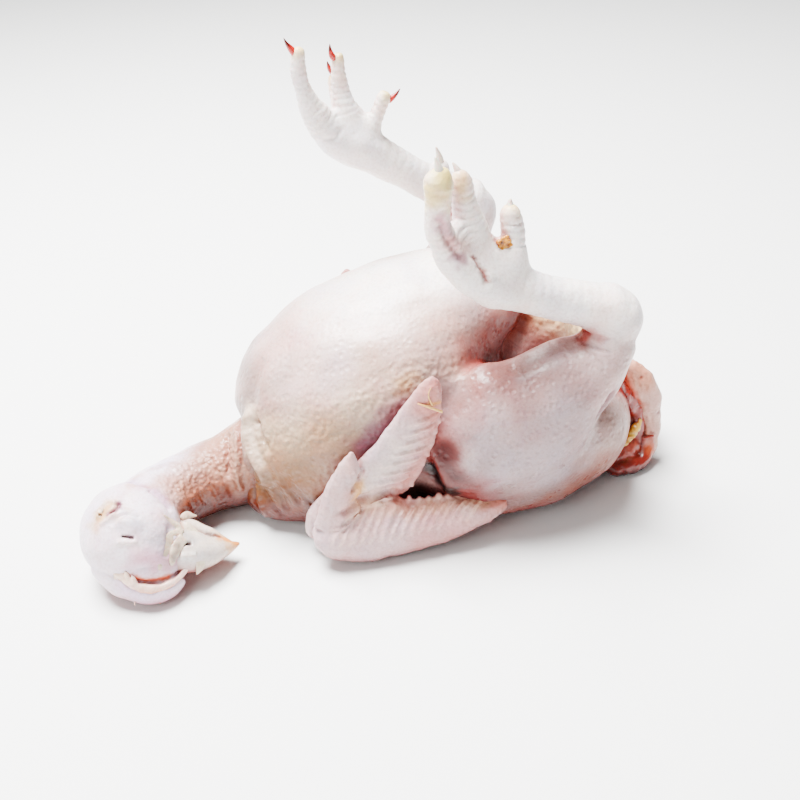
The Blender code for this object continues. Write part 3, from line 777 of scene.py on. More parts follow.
headLook = {
    "skin": (0.88, 0.83, 0.86),
    "neckSkin": (0.67, 0.53, 0.475),
    "neck": [    # x, y, z, half width, half height
        (-9.6, -1.0, 3.6, 2.9, 2.8), (-11.6, -1.3, 3.0, 2.4, 2.4), (-13.4, -1.4, 2.2, 2.08, 2.2),
        (-15.0, -1.6, 1.95, 1.92, 2.0), (-16.6, -2.5, 1.95, 1.84, 1.98), (-17.8, -3.8, 2.2, 2.0, 2.0),
        (-18.5, -5.2, 2.4, 1.8, 1.9),
    ],
    "lobe": [(-20.5, -7.2, 1.9, 0.6, 0.9), (-19.6, -8.0, 1.3, 0.7, 0.85),
             (-18.7, -8.5, 0.95, 0.64, 0.72), (-17.9, -8.7, 0.85, 0.6, 0.65),
             (-17.2, -8.55, 0.85, 0.5, 0.58), (-16.6, -8.15, 1.0, 0.35, 0.4)],
    "fold": [(-19.6, -7.7, 2.2, 0.5, 0.7), (-18.6, -8.15, 1.9, 0.6, 0.7), (-17.6, -8.2, 1.7, 0.55, 0.6),
             (-16.6, -7.7, 1.7, 0.4, 0.45)],
    "face": [(-18.6, -6.4, 2.2, 2.2, 2.0), (-17.4, -6.8, 1.9, 1.8, 1.55), (-16.5, -6.8, 1.6, 1.2, 1.05),
             (-15.9, -6.7, 1.4, 0.7, 0.6)],
    "lumps": [    # centre, radius, height
        ((-18.65, -7.6, 4.3), 0.7, 0.14), ((-18.0, -8.5, 2.8), 0.7, 0.16),
        ((-17.3, -7.6, 3.5), 0.8, 0.1),
        ((-19.6, -6.7, 4.6), 0.6, 0.08),
    ],
    "strokes": [    # path, width, height
        ([(-19.0, -7.98, 4.03), (-18.67, -8.0, 3.98), (-18.4, -8.03, 3.87)], 0.06, -0.18),
        ([(-19.3, -8.08, 3.85), (-18.7, -8.15, 3.78), (-18.2, -8.12, 3.7)], 0.13, 0.08),
        ([(-19.5, -7.5, 4.35), (-18.8, -7.15, 4.6), (-18.0, -7.3, 4.35)], 0.14, -0.07),
        ([(-20.1, -7.0, 4.4), (-19.9, -6.4, 4.6), (-19.4, -6.2, 4.8), (-19.1, -6.5, 4.8)], 0.13, 0.13),
        ([(-20.0, -7.2, 4.3), (-19.6, -7.2, 4.5), (-19.2, -6.9, 4.7)], 0.12, 0.1),
        ([(-19.5, -7.0, 4.62), (-19.15, -6.75, 4.75), (-19.0, -6.35, 4.83)], 0.1, -0.16),
        ([(-20.02, -6.8, 4.52), (-19.95, -6.75, 4.55)], 0.1, -0.14),
        ([(-19.82, -6.62, 4.6), (-19.76, -6.6, 4.62)], 0.08, -0.1),
        ([(-18.8, -8.8, 1.9), (-18.0, -8.9, 1.55), (-17.2, -8.7, 1.4)], 0.12, -0.07),
        ([(-17.2, -8.3, 2.5), (-16.95, -7.7, 3.0), (-16.9, -6.9, 3.5)], 0.18, -0.14),
        ([(-17.9, -5.2, 4.4), (-17.2, -5.6, 4.1), (-16.7, -6.1, 3.5)], 0.22, -0.16),
        ([(-18.9, -3.9, 4.4), (-18.0, -4.6, 4.5), (-17.5, -5.0, 4.3)], 0.3, -0.12),
        ([(-13.0, -1.2, 5.0), (-13.1, -2.6, 4.4), (-13.3, -3.3, 3.2), (-13.2, -3.2, 2.0)], 0.2, 0.26),
        ([(-13.6, -1.2, 4.7), (-13.7, -2.6, 4.0), (-13.8, -3.3, 2.9)], 0.18, -0.2),
        ([(-15.6, -3.2, 3.3), (-15.3, -3.8, 2.4), (-15.0, -3.6, 1.5)], 0.14, -0.06),
        ([(-15.0, -2.9, 3.6), (-14.7, -3.4, 2.6), (-14.4, -3.4, 1.5)], 0.14, -0.06),
        ([(-14.4, -2.8, 3.7), (-14.2, -3.4, 2.8), (-13.9, -3.4, 1.7)], 0.14, -0.06),
        ([(-16.1, -3.9, 3.4), (-15.9, -4.4, 2.7), (-15.7, -4.3, 1.9)], 0.14, -0.06),
    ],
    "washes": [    # path, radius, colour, strength, unevenness, seed
        # the next two darken the neck's lower side towards the table: partly its orange-brown skin, partly
        # painted shade
        ([(-16.0, -4.4, 2.0), (-15.2, -3.9, 1.6), (-14.2, -3.4, 1.3), (-12.8, -3.3, 1.3)], 1.0,
         (0.38, 0.15, 0.07), 0.9, 0.4, 54),
        ([(-15.4, -4.1, 0.7), (-14.4, -3.3, 0.5), (-13.0, -3.2, 0.5)], 0.6, (0.30, 0.16, 0.10), 0.8,
         0.3, 50),
        ([(-17.0, -4.4, 3.6), (-15.9, -3.9, 3.1), (-14.8, -3.3, 2.9)], 0.9, (0.65, 0.47, 0.39), 0.5,
         0.5, 55),
        ([(-13.6, -1.4, 5.0), (-13.3, -2.8, 4.4), (-13.0, -3.3, 3.2)], 0.8, (0.66, 0.54, 0.47), 0.7,
         0.4, 49),
        ([(-19.0, -7.6, 3.3), (-18.4, -8.2, 3.4)], 1.0, (0.92, 0.89, 0.90), 0.7, 0.3, 56),
        ([(-18.9, -7.5, 4.35), (-18.3, -7.5, 4.3)], 0.45, (0.62, 0.63, 0.67), 0.7, 0.3, 57),
        ([(-19.2, -8.1, 3.82), (-18.3, -8.13, 3.72)], 0.14, (0.92, 0.90, 0.87), 0.8, 0.2, 58),
        ([(-19.2, -8.6, 1.3), (-18.2, -9.2, 0.8), (-17.2, -9.0, 0.8)], 0.55, (0.86, 0.77, 0.84), 0.8,
         0.2, 47),
        ([(-18.97, -7.98, 4.03), (-18.67, -8.0, 3.98), (-18.42, -8.03, 3.87)], 0.05, (0.10, 0.11, 0.11),
         0.95, 0.1, 59),
        ([(-20.0, -6.9, 4.5), (-19.5, -6.6, 4.7)], 0.5, (0.76, 0.60, 0.40), 0.75, 0.3, 60),
        ([(-19.5, -7.0, 4.62), (-19.1, -6.7, 4.76), (-19.0, -6.35, 4.83)], 0.14, (0.38, 0.22, 0.28),
         0.8, 0.2, 61),
        ([(-20.0, -6.78, 4.53)], 0.09, (0.02, 0.015, 0.01), 1.0, 0.1, 62),
        ([(-19.8, -6.62, 4.6)], 0.09, (0.02, 0.015, 0.01), 1.0, 0.1, 62),
        ([(-17.6, -7.6, 3.7), (-17.2, -7.8, 3.3)], 0.6, (0.66, 0.64, 0.68), 0.6, 0.3, 63),
        ([(-18.3, -8.5, 2.9), (-17.6, -8.4, 2.6)], 0.6, (0.78, 0.56, 0.63), 0.65, 0.3, 64),
        ([(-18.8, -8.75, 2.0), (-18.0, -8.85, 1.7), (-17.1, -8.6, 1.55)], 0.16, (0.76, 0.38, 0.26), 0.9,
         0.2, 65),
        ([(-17.1, -8.3, 2.3), (-16.6, -8.0, 1.9)], 0.5, (0.70, 0.50, 0.50), 0.6, 0.3, 66),
        # painted shade along the fold at the corner of the mouth
        ([(-17.2, -8.2, 2.7), (-16.95, -7.6, 3.1), (-16.9, -6.9, 3.5)], 0.28, (0.58, 0.52, 0.56), 0.5,
         0.3, 67),
        ([(-18.9, -3.9, 4.4), (-17.9, -4.7, 4.5), (-17.0, -5.6, 4.0)], 0.4, (0.60, 0.42, 0.55), 0.4,
         0.3, 68),
    ],
}


def makeHead():
    look = headLook
    bm = bmesh.new()
    sweep(bm, look["neck"])
    lump(bm, (-18.9, -5.9, 2.45), (2.55, 2.75, 2.45))
    sweep(bm, look["face"])
    bm = reopened(fuse(bm, 0.12, 0.2))
    sweep(bm, look["lobe"])
    sweep(bm, look["fold"])
    mesh = fuse(bm, fineness["smallVoxel"], 0.12)
    clay = Clay(mesh)
    for centre, radius, height in look["lumps"]:
        clay.lift(near(clay.at, [centre], radius) * height)
    clay.refresh()
    for path, width, height in look["strokes"]:
        clay.stroke(path, width, height)
    clay.refresh()
    neck = [(-17.0, -4.0, 3.8), (-15.7, -3.0, 3.5), (-14.3, -2.6, 3.4), (-13.2, -2.4, 3.6)]
    clay.bumps(near(clay.at, neck, 1.5) * inRange(clay.at[:, 0], -18.0, -16.6), 0.3, 0.11, 0.075, 51)
    clay.bumps(near(clay.at, [(-17.5, -7.7, 3.6), (-17.2, -7.9, 3.2)], 0.6), 0.17, 0.06, 0.03, 52)
    clay.lift(0.02 * roll(clay.at, 1.0, 53))
    clay.at[:, 2] = np.maximum(clay.at[:, 2], 0.0)
    clay.refresh()
    mesh = thinned(mesh, fineness["headFaces"])
    points = readPoints(mesh)
    paint = Paint(points, look["skin"])
    x, y, z = points.T
    necked = inRange(x - 0.4 * y, -15.9, -14.3) * inRange(y, -6.0, -4.2)
    paint.blend(look["neckSkin"], necked)
    # darker and oranger on the neck's underside: partly its orange skin, partly painted shade
    under = inRange(-z, -3.4, -1.2) * inRange(-y, 1.0, 3.2) * necked
    paint.blend((0.50, 0.29, 0.20), 0.85 * under)
    for path, radius, colour, strength, uneven, seed in look["washes"]:
        paint.wash(path, radius, colour, strength, uneven, seed)
    stipple = paint.weight([(-17.6, -7.6, 3.7), (-17.2, -7.8, 3.3)], 0.7)
    paint.pores = 0.25 + 0.7 * necked + 0.8 * stipple
    paint.creases = np.clip(0.25 + necked, 0, 1)
    paint.store(mesh)
    finishPiece("headSkin", mesh, skin)


def paintedPiece(name, mesh, base, washes, material, pores=0.0, creases=0.0):
    paint = Paint(readPoints(mesh), base)
    for i, (path, radius, colour, strength) in enumerate(washes):
        paint.wash(path, radius, colour, strength, 0.3, 100 + i)
    paint.pores += pores
    paint.creases += creases
    paint.store(mesh)
    return finishPiece(name, mesh, material)


def closedMesh(bm):    # several closed shapes kept as they are
    mesh = bpy.data.meshes.new("shapes")
    bmesh.ops.recalc_face_normals(bm, faces=bm.faces[:])
    bm.to_mesh(mesh)
    bm.free()
    return mesh


beakLook = {
    "horn": (0.82, 0.77, 0.72),
    "tip": (0.84, 0.52, 0.22),
    "upper": [(-17.0, -7.0, 1.7, 1.25, 1.25, 1.0), (-16.1, -7.05, 1.6, 1.2, 1.1, 0.9),
              (-15.3, -6.95, 1.4, 0.95, 0.8, 0.75),
              (-14.5, -6.65, 1.15, 0.55, 0.5, 0.5), (-13.9, -6.35, 1.0, 0.22, 0.22, 0.25),
              (-13.6, -6.2, 0.95, 0.06, 0.06, 0.06)],
    "lower": [(-17.0, -5.5, 1.7, 0.8, 0.9, 0.8), (-16.2, -5.45, 1.6, 0.6, 0.75, 0.6),
              (-15.2, -5.75, 1.4, 0.4, 0.5, 0.45),
              (-14.4, -6.05, 1.15, 0.22, 0.25, 0.25), (-13.95, -6.2, 1.0, 0.07, 0.07, 0.07)],
}


def makeBeak():
    look = beakLook
    bm = bmesh.new()
    sweep(bm, look["upper"])
    sweep(bm, look["lower"])
    mesh = fuse(bm, 0.05, 0.035)
    clay = Clay(mesh)
    clay.stroke([(-16.6, -7.6, 2.55), (-16.25, -7.5, 2.5), (-15.9, -7.4, 2.35)], 0.09, -0.2)
    clay.stroke([(-16.5, -7.9, 2.2), (-16.1, -7.9, 2.15), (-15.7, -7.8, 2.0)], 0.16, 0.1)
    clay.stroke([(-16.6, -6.1, 2.6), (-15.8, -6.1, 2.25), (-15.0, -6.15, 1.8), (-14.3, -6.2, 1.4)],
                0.09, -0.12)
    clay.lift(0.02 * roll(clay.at, 0.8, 71))
    clay.at[:, 2] = np.maximum(clay.at[:, 2], 0.05)
    clay.refresh()
    washes = [
        ([(-14.4, -6.5, 1.2), (-13.7, -6.3, 1.0)], 0.4, look["tip"], 0.75),
        ([(-16.6, -7.6, 2.55), (-16.25, -7.5, 2.5), (-15.9, -7.4, 2.35)], 0.09, (0.05, 0.04, 0.035),
         1.0),
        ([(-16.5, -8.0, 2.1), (-15.7, -7.9, 1.9)], 0.25, (0.90, 0.90, 0.88), 0.7),
        ([(-16.8, -7.8, 1.6), (-16.2, -8.0, 1.2)], 0.5, (0.66, 0.42, 0.42), 0.6),
        ([(-16.6, -6.1, 2.6), (-15.8, -6.1, 2.25), (-15.0, -6.15, 1.8)], 0.1, (0.35, 0.30, 0.28), 0.6),
        ([(-16.6, -6.9, 2.8), (-16.0, -7.1, 2.6)], 0.45, (0.52, 0.50, 0.50), 0.6),
        ([(-15.8, -7.6, 1.9), (-15.0, -7.4, 1.6)], 0.35, (0.70, 0.68, 0.68), 0.5),
    ]
    paintedPiece("beak", mesh, look["horn"], washes, paintedMaterial("beakHorn", coat=0.35, glow=0.15),
                 0.0, 0.2)


combLook = {
    "skin": (0.92, 0.80, 0.74),
    "band": [(-20.0, -7.9, 2.1, 0.12, 0.14), (-19.4, -8.45, 1.95, 0.17, 0.24),
             (-18.7, -8.9, 1.55, 0.19, 0.24), (-17.9, -9.05, 1.3, 0.18, 0.22),
             (-17.1, -8.8, 1.25, 0.15, 0.18), (-16.4, -8.3, 1.45, 0.12, 0.15),
             (-15.95, -7.8, 1.7, 0.04, 0.05)],
    "lobes": [((-19.5, -8.3, 1.5), (0.5, 0.35, 0.5))],
    "spikes": [((-18.9, -9.0, 0.7), (-18.95, -9.2, 0.4)), ((-17.7, -9.1, 0.6), (-17.7, -9.3, 0.35)),
               ((-16.9, -8.8, 0.7), (-16.85, -9.05, 0.45))],
    "tufts": [((-19.4, -8.3, 2.0), (-19.75, -8.1, 2.5)), ((-19.15, -8.5, 2.0), (-19.4, -8.4, 2.55)),
              ((-18.95, -8.7, 1.85), (-19.1, -8.65, 2.4)), ((-18.7, -8.85, 1.75), (-18.8, -8.8, 2.2)),
              ((-19.6, -8.1, 1.9), (-20.1, -8.0, 2.2))],
}


def thorn(bm, start, end, radius, sides=10):    # short pointed quill
    start, end = Vector(start), Vector(end)
    middle = start.lerp(end, 0.55)
    rows = [(*start, radius), (*middle, radius * 0.65), (*end, radius * 0.1)]
    tube(bm, rows, up=(0.3, 0.5, 0.81), sides=sides)


def makeComb():
    look = combLook
    bm = bmesh.new()
    sweep(bm, look["band"])
    for centre, radii in look["lobes"]:
        lump(bm, centre, radii)
    for start, end in look["tufts"]:
        thorn(bm, start, end, 0.17)
    for start, end in look["spikes"]:
        thorn(bm, start, end, 0.055)
    mesh = fuse(bm, 0.04, 0.035)
    clay = Clay(mesh)
    clay.lift(0.03 * roll(clay.at, 0.6, 81))
    clay.at[:, 2] = np.maximum(clay.at[:, 2], 0.03)
    clay.refresh()
    washes = [
        ([(-18.8, -9.2, 1.35), (-17.9, -9.35, 1.1), (-17.0, -9.1, 1.05)], 0.13, (0.86, 0.56, 0.42), 0.6),
        ([(-19.6, -8.2, 2.2), (-19.0, -8.6, 2.2)], 0.4, (0.95, 0.86, 0.78), 0.8),
        ([(-19.6, -8.3, 1.3), (-18.8, -8.9, 1.2)], 0.3, (0.86, 0.72, 0.76), 0.6),
    ]
    paintedPiece("comb", mesh, look["skin"], washes, paintedMaterial("combSkin", coat=0.3, glow=0.25),
                 0.2, 0.3)


shreds = [    # torn skin at the beak: stations of x, y, z, half width, half thickness
    [(-16.3, -6.9, 2.75, 0.22, 0.08), (-16.6, -6.75, 3.15, 0.3, 0.07), (-16.85, -6.7, 3.55, 0.2, 0.06),
     (-17.0, -6.7, 3.95, 0.04, 0.04)],
    [(-16.3, -7.0, 2.75, 0.35, 0.09), (-16.7, -7.4, 2.95, 0.42, 0.08), (-17.05, -7.9, 2.85, 0.34, 0.07),
     (-17.3, -8.35, 2.45, 0.22, 0.06), (-17.55, -8.7, 1.95, 0.04, 0.04)],
    [(-16.2, -7.3, 2.8, 0.3, 0.09), (-16.5, -7.8, 2.75, 0.3, 0.08), (-16.75, -8.2, 2.45, 0.24, 0.07),
     (-16.9, -8.45, 2.1, 0.05, 0.04)],
    [(-15.5, -7.4, 2.2, 0.16, 0.07), (-15.5, -7.75, 1.95, 0.26, 0.07), (-15.55, -8.1, 1.6, 0.26, 0.07),
     (-15.8, -8.35, 1.2, 0.05, 0.04)],
    [(-16.4, -5.5, 2.45, 0.2, 0.08), (-16.1, -5.2, 2.45, 0.24, 0.08), (-15.8, -5.1, 2.3, 0.12, 0.06),
     (-15.6, -5.05, 2.2, 0.03, 0.03)],
    [(-16.5, -6.2, 2.6, 0.25, 0.08), (-16.1, -6.35, 2.65, 0.3, 0.08), (-15.7, -6.5, 2.4, 0.18, 0.06),
     (-15.4, -6.6, 2.2, 0.04, 0.04)],
]


def makeShreds():
    bm = bmesh.new()
    for rows in shreds:
        sweep(bm, rows, up=(0.5, -0.6, 0.6), sides=12)
    mesh = fuse(bm, 0.035, 0.025)
    clay = Clay(mesh)
    clay.lift(0.014 * roll(clay.at, 0.4, 91))
    clay.refresh()
    washes = [
        ([(-16.7, -7.4, 2.95), (-17.1, -7.9, 2.85), (-17.3, -8.35, 2.4)], 0.3, (0.62, 0.56, 0.50), 0.75),
        ([(-16.5, -7.8, 2.75), (-16.75, -8.2, 2.45)], 0.22, (0.50, 0.45, 0.42), 0.7),
        ([(-16.4, -5.5, 2.45), (-16.1, -5.2, 2.45)], 0.3, (0.76, 0.66, 0.56), 0.5),
    ]
    paintedPiece("tornSkin", mesh, (0.81, 0.75, 0.67), washes,
                 paintedMaterial("tornSkin", coat=0.2, glow=0.3), 0.0, 0.5)


claws = {
    "near": [    # x, y, z, radius from root to tip
        [(-2.75, -6.1, 20.0, 0.24), (-2.85, -6.1, 20.35, 0.18), (-2.98, -6.05, 20.8, 0.04)],
        [(-1.55, -4.6, 19.2, 0.2), (-1.65, -4.5, 19.5, 0.16), (-1.85, -4.4, 19.85, 0.04)],
        [(-2.1, -2.95, 19.2, 0.22), (-2.15, -3.0, 19.6, 0.16), (-2.3, -3.0, 20.1, 0.04)],
        [(0.85, -4.45, 17.4, 0.22), (0.86, -4.4, 17.6, 0.16), (0.87, -4.4, 17.85, 0.05)],
    ],
    "far": [
        [(-7.75, 4.4, 22.6, 0.18), (-7.95, 4.4, 22.9, 0.17), (-8.15, 4.35, 23.2, 0.09),
         (-8.28, 4.3, 23.5, 0.02)],
        [(-5.75, 5.4, 22.0, 0.16), (-5.88, 5.35, 22.2, 0.16), (-5.95, 5.3, 22.5, 0.09),
         (-5.95, 5.3, 22.8, 0.02)],
        [(-5.65, 7.3, 20.7, 0.16), (-5.85, 7.3, 21.0, 0.13), (-5.95, 7.3, 21.4, 0.02)],
        [(-3.1, 5.2, 19.7, 0.16), (-2.9, 5.2, 19.85, 0.15), (-2.65, 5.2, 20.05, 0.09),
         (-2.45, 5.2, 20.3, 0.02)],
    ],
}


def makeClaws():
    horn = paintedMaterial("clawHorn", coat=0.4, glow=0.35, glowDepth=0.002, transmission=0.15)
    for side, base in (("near", (0.92, 0.90, 0.85)), ("far", (0.78, 0.22, 0.17))):
        bm = bmesh.new()
        for joints in claws[side]:
            tube(bm, joints, up=(0.2, 0.9, 0.3), sides=20)
        mesh = fuse(bm, 0.03, 0.02)
        washes = []
        if side == "far":
            tipColour = (0.24, 0.10, 0.09)
            washes = [([joints[-1][:3], joints[-2][:3]], 0.14, tipColour, 0.8) for joints in claws[side]]
        paintedPiece(side + "Claws", mesh, base, washes, horn)


tailLook = {
    "flap": [    # x, y, z, half width, half thickness
        (8.3, -2.3, 6.95, 0.15, 0.15), (8.6, -2.5, 6.45, 0.6, 0.3), (9.05, -2.6, 5.6, 0.95, 0.4),
        (9.5, -2.7, 4.6, 0.95, 0.42),
        (10.0, -2.7, 3.5, 0.72, 0.42), (10.15, -2.7, 2.6, 0.6, 0.42), (10.2, -2.8, 1.6, 0.5, 0.4),
        (10.15, -3.0, 0.8, 0.42, 0.4),
        (10.0, -3.0, 0.3, 0.2, 0.2),
    ],
    "slit": [(7.7, -2.6, 5.9, 0.3), (8.4, -2.6, 4.8, 0.45), (9.1, -2.5, 3.6, 0.55),
             (9.3, -2.5, 2.6, 0.6), (9.3, -2.5, 1.6, 0.7)],
    "roll": [(9.9, -2.9, 1.9, 0.45), (9.9, -3.1, 1.0, 0.5), (9.5, -3.5, 0.55, 0.52),
             (8.7, -3.8, 0.5, 0.5), (7.9, -3.9, 0.5, 0.46),
             (7.3, -3.6, 0.7, 0.4)],
    "lobes": [((8.7, -3.0, 1.1), (0.8, 0.7, 0.9)), ((9.2, -2.6, 0.9), (0.9, 0.8, 0.85)),
              ((8.0, -3.1, 0.9), (0.8, 0.8, 0.75)),
              ((8.6, -2.6, 2.2), (0.6, 0.5, 0.9))],
    "fat": [(8.2, -3.35, 1.5, 0.1), (8.4, -3.35, 1.9, 0.24), (8.8, -3.3, 2.4, 0.28),
            (9.2, -3.2, 2.85, 0.2), (9.4, -3.1, 3.1, 0.08)],
    "pits": [(9.1, -2.95, 5.9), (10.35, -3.0, 3.4), (10.2, -3.0, 2.1)],
}


def makeTail():
    look = tailLook
    bm = bmesh.new()
    sweep(bm, look["flap"], up=(0.25, 1.0, 0.1))
    mesh = fuse(bm, 0.06, 0.05)
    clay = Clay(mesh)
    clay.lift(0.06 * roll(clay.at, 1.1, 111) + 0.015 * roll(clay.at, 0.4, 112))
    for pit in look["pits"]:
        clay.pull(pit, 0.14, (0.0, 0.16, 0.0))
    clay.at[:, 2] = np.maximum(clay.at[:, 2], 0.02)
    clay.refresh()
    washes = [([pit], 0.11, (0.36, 0.16, 0.16), 0.9) for pit in look["pits"]]
    washes += [([(8.1, -2.6, 6.2), (8.4, -3.0, 5.2), (9.2, -3.1, 4.0)], 0.26, (0.72, 0.26, 0.18), 0.85),
               ([(9.6, -2.9, 1.4), (9.9, -3.2, 0.6)], 0.6, (0.70, 0.42, 0.32), 0.7),
               ([(8.7, -2.9, 6.2), (9.2, -3.0, 5.6)], 0.7, (0.78, 0.56, 0.46), 0.6),
               ([(9.6, -3.1, 4.4), (10.2, -3.1, 3.0)], 0.6, (0.84, 0.72, 0.68), 0.6)]
    paintedPiece("tailFlap", mesh, (0.80, 0.64, 0.58), washes, skin, 0.5, 0.5)
    bm = bmesh.new()
    tube(bm, look["slit"])
    tube(bm, look["roll"])
    for centre, radii in look["lobes"]:
        lump(bm, centre, radii)
    mesh = fuse(bm, 0.06, 0.06)
    clay = Clay(mesh)
    clay.lift(0.04 * roll(clay.at, 0.7, 113) + 0.008 * roll(clay.at, 0.25, 114))
    clay.at[:, 2] = np.maximum(clay.at[:, 2], 0.0)
    clay.refresh()
    washes = [([(8.6, -3.6, 1.2), (8.9, -3.5, 1.6)], 0.45, (0.74, 0.42, 0.36), 0.8),
              ([(10.0, -3.4, 1.5), (10.1, -3.4, 0.8)], 0.5, (0.76, 0.46, 0.32), 0.8),
              ([(8.2, -4.2, 0.3), (9.4, -3.9, 0.3)], 0.4, (0.42, 0.16, 0.11), 0.6)]
    wet = paintedMaterial("wetFlesh", coat=0.6, glow=0.2)
    paintedPiece("ventFlesh", mesh, (0.56, 0.22, 0.17), washes, wet, 0.0, 0.6)
    bm = bmesh.new()
    tube(bm, look["fat"])
    mesh = fuse(bm, 0.05, 0.03)
    clay = Clay(mesh)
    clay.lift(0.04 * roll(clay.at, 0.35, 115))
    clay.refresh()
    paintedPiece("tailFat", mesh, (0.84, 0.72, 0.38), [], wet, 0.0, 0.4)


def makeScab():    # dried crust on the back of the near foot
    bm = bmesh.new()
    rng = np.random.default_rng(5)
    for k in range(14):
        turn = k * 2.4
        out = 0.09 * math.sqrt(k)
        centre = (0.45 + out * math.cos(turn), -5.05 - 0.03 * k % 0.12,
                  15.95 + out * 1.2 * math.sin(turn))
        size = rng.uniform(0.08, 0.16)
        lump(bm, centre, (size, size * 0.8, size * 1.1), (rng.uniform(0, 90), rng.uniform(0, 90), 0))
    mesh = fuse(bm, 0.03, 0.012)
    washes = [([(0.3, -5.2, 16.05)], 0.1, (0.26, 0.14, 0.05), 0.9),
              ([(0.6, -5.2, 15.9)], 0.09, (0.34, 0.16, 0.06), 0.9),
              ([(0.5, -5.2, 15.7)], 0.12, (0.92, 0.82, 0.45), 0.8)]
    paintedPiece("scab", mesh, (0.80, 0.58, 0.22), washes,
                 paintedMaterial("driedCrust", coat=0.3, glow=0.05), 0.0, 1.0)


wingLook = {
    "skin": (0.745, 0.655, 0.655),
    "forearm": [    # share from elbow to wrist, leading half chord, trailing half chord, half thickness
        (-0.04, 0.45, 0.4, 0.5), (0.01, 0.8, 0.75, 0.66), (0.12, 1.05, 0.9, 0.72),
        (0.35, 1.4, 1.15, 0.75),
        (0.55, 1.5, 1.5, 0.8), (0.66, 1.55, 1.95, 0.85), (0.8, 1.6, 1.7, 0.9), (0.92, 1.5, 1.3, 0.9),
        (1.02, 1.2, 1.2, 0.8), (1.1, 0.4, 0.5, 0.4),
    ],
    "hand": [    # share from wrist to tip
        (-0.10, 0.8, 0.6, 0.5), (0.03, 1.45, 1.1, 0.65), (0.2, 1.45, 1.9, 0.6), (0.4, 1.2, 2.15, 0.55),
        (0.6, 1.0, 1.85, 0.5), (0.8, 0.75, 1.35, 0.42), (0.93, 0.5, 0.8, 0.34), (1.0, 0.2, 0.25, 0.15),
    ],
    "thumb": [(0.0, 1.2, 0.9, 0.5), (0.45, 1.0, 0.85, 0.46), (0.78, 0.55, 0.62, 0.36),
              (0.92, 0.24, 0.34, 0.2),
              (1.0, 0.06, 0.08, 0.08)],
    "quills": 15,
    "handQuills": 13,
}


class Blade:    # leaf between two points; toward is the way of the trailing edge
    def __init__(self, start, end, rows, toward, bow=(0.0, 0.0, 0.0)):
        self.start, self.end, self.bow = Vector(start), Vector(end), Vector(bow)
        self.forward = (self.end - self.start).normalized()
        self.lift = self.forward.cross(Vector(toward)).normalized()
        self.across = self.lift.cross(self.forward)
        self.rows = smoothRows(rows, fineness["steps"])

    def centre(self, share):
        return self.start.lerp(self.end, share) + self.bow * math.sin(math.pi * min(max(share, 0.0),
                                                                                    1.0))

    def at(self, share, side, height):    # side -1 leading edge, 1 trailing edge; height in half thicknesses
        columns = list(zip(*self.rows))
        lead, trail, thick = (float(np.interp(share, columns[0], column)) for column in columns[1:])
        reach = side * (trail if side > 0 else lead)
        return self.centre(share) + self.across * reach + self.lift * (height * thick)

    def build(self, bm):
        edges = None
        for share, lead, trail, thick in self.rows:
            circle = bmesh.ops.create_circle(bm, segments=32, radius=1.0)["verts"]
            for vert in circle:
                side, height = vert.co.x, vert.co.y
                height *= thick * (1.0 - 0.7 * max(side, 0.0) ** 1.4)
                reach = trail if side > 0 else lead
                vert.co = self.centre(share) + self.across * (side * reach) + self.lift * height
            edges = joinRing(bm, circle, edges)
        bmesh.ops.contextual_create(bm, geom=edges)


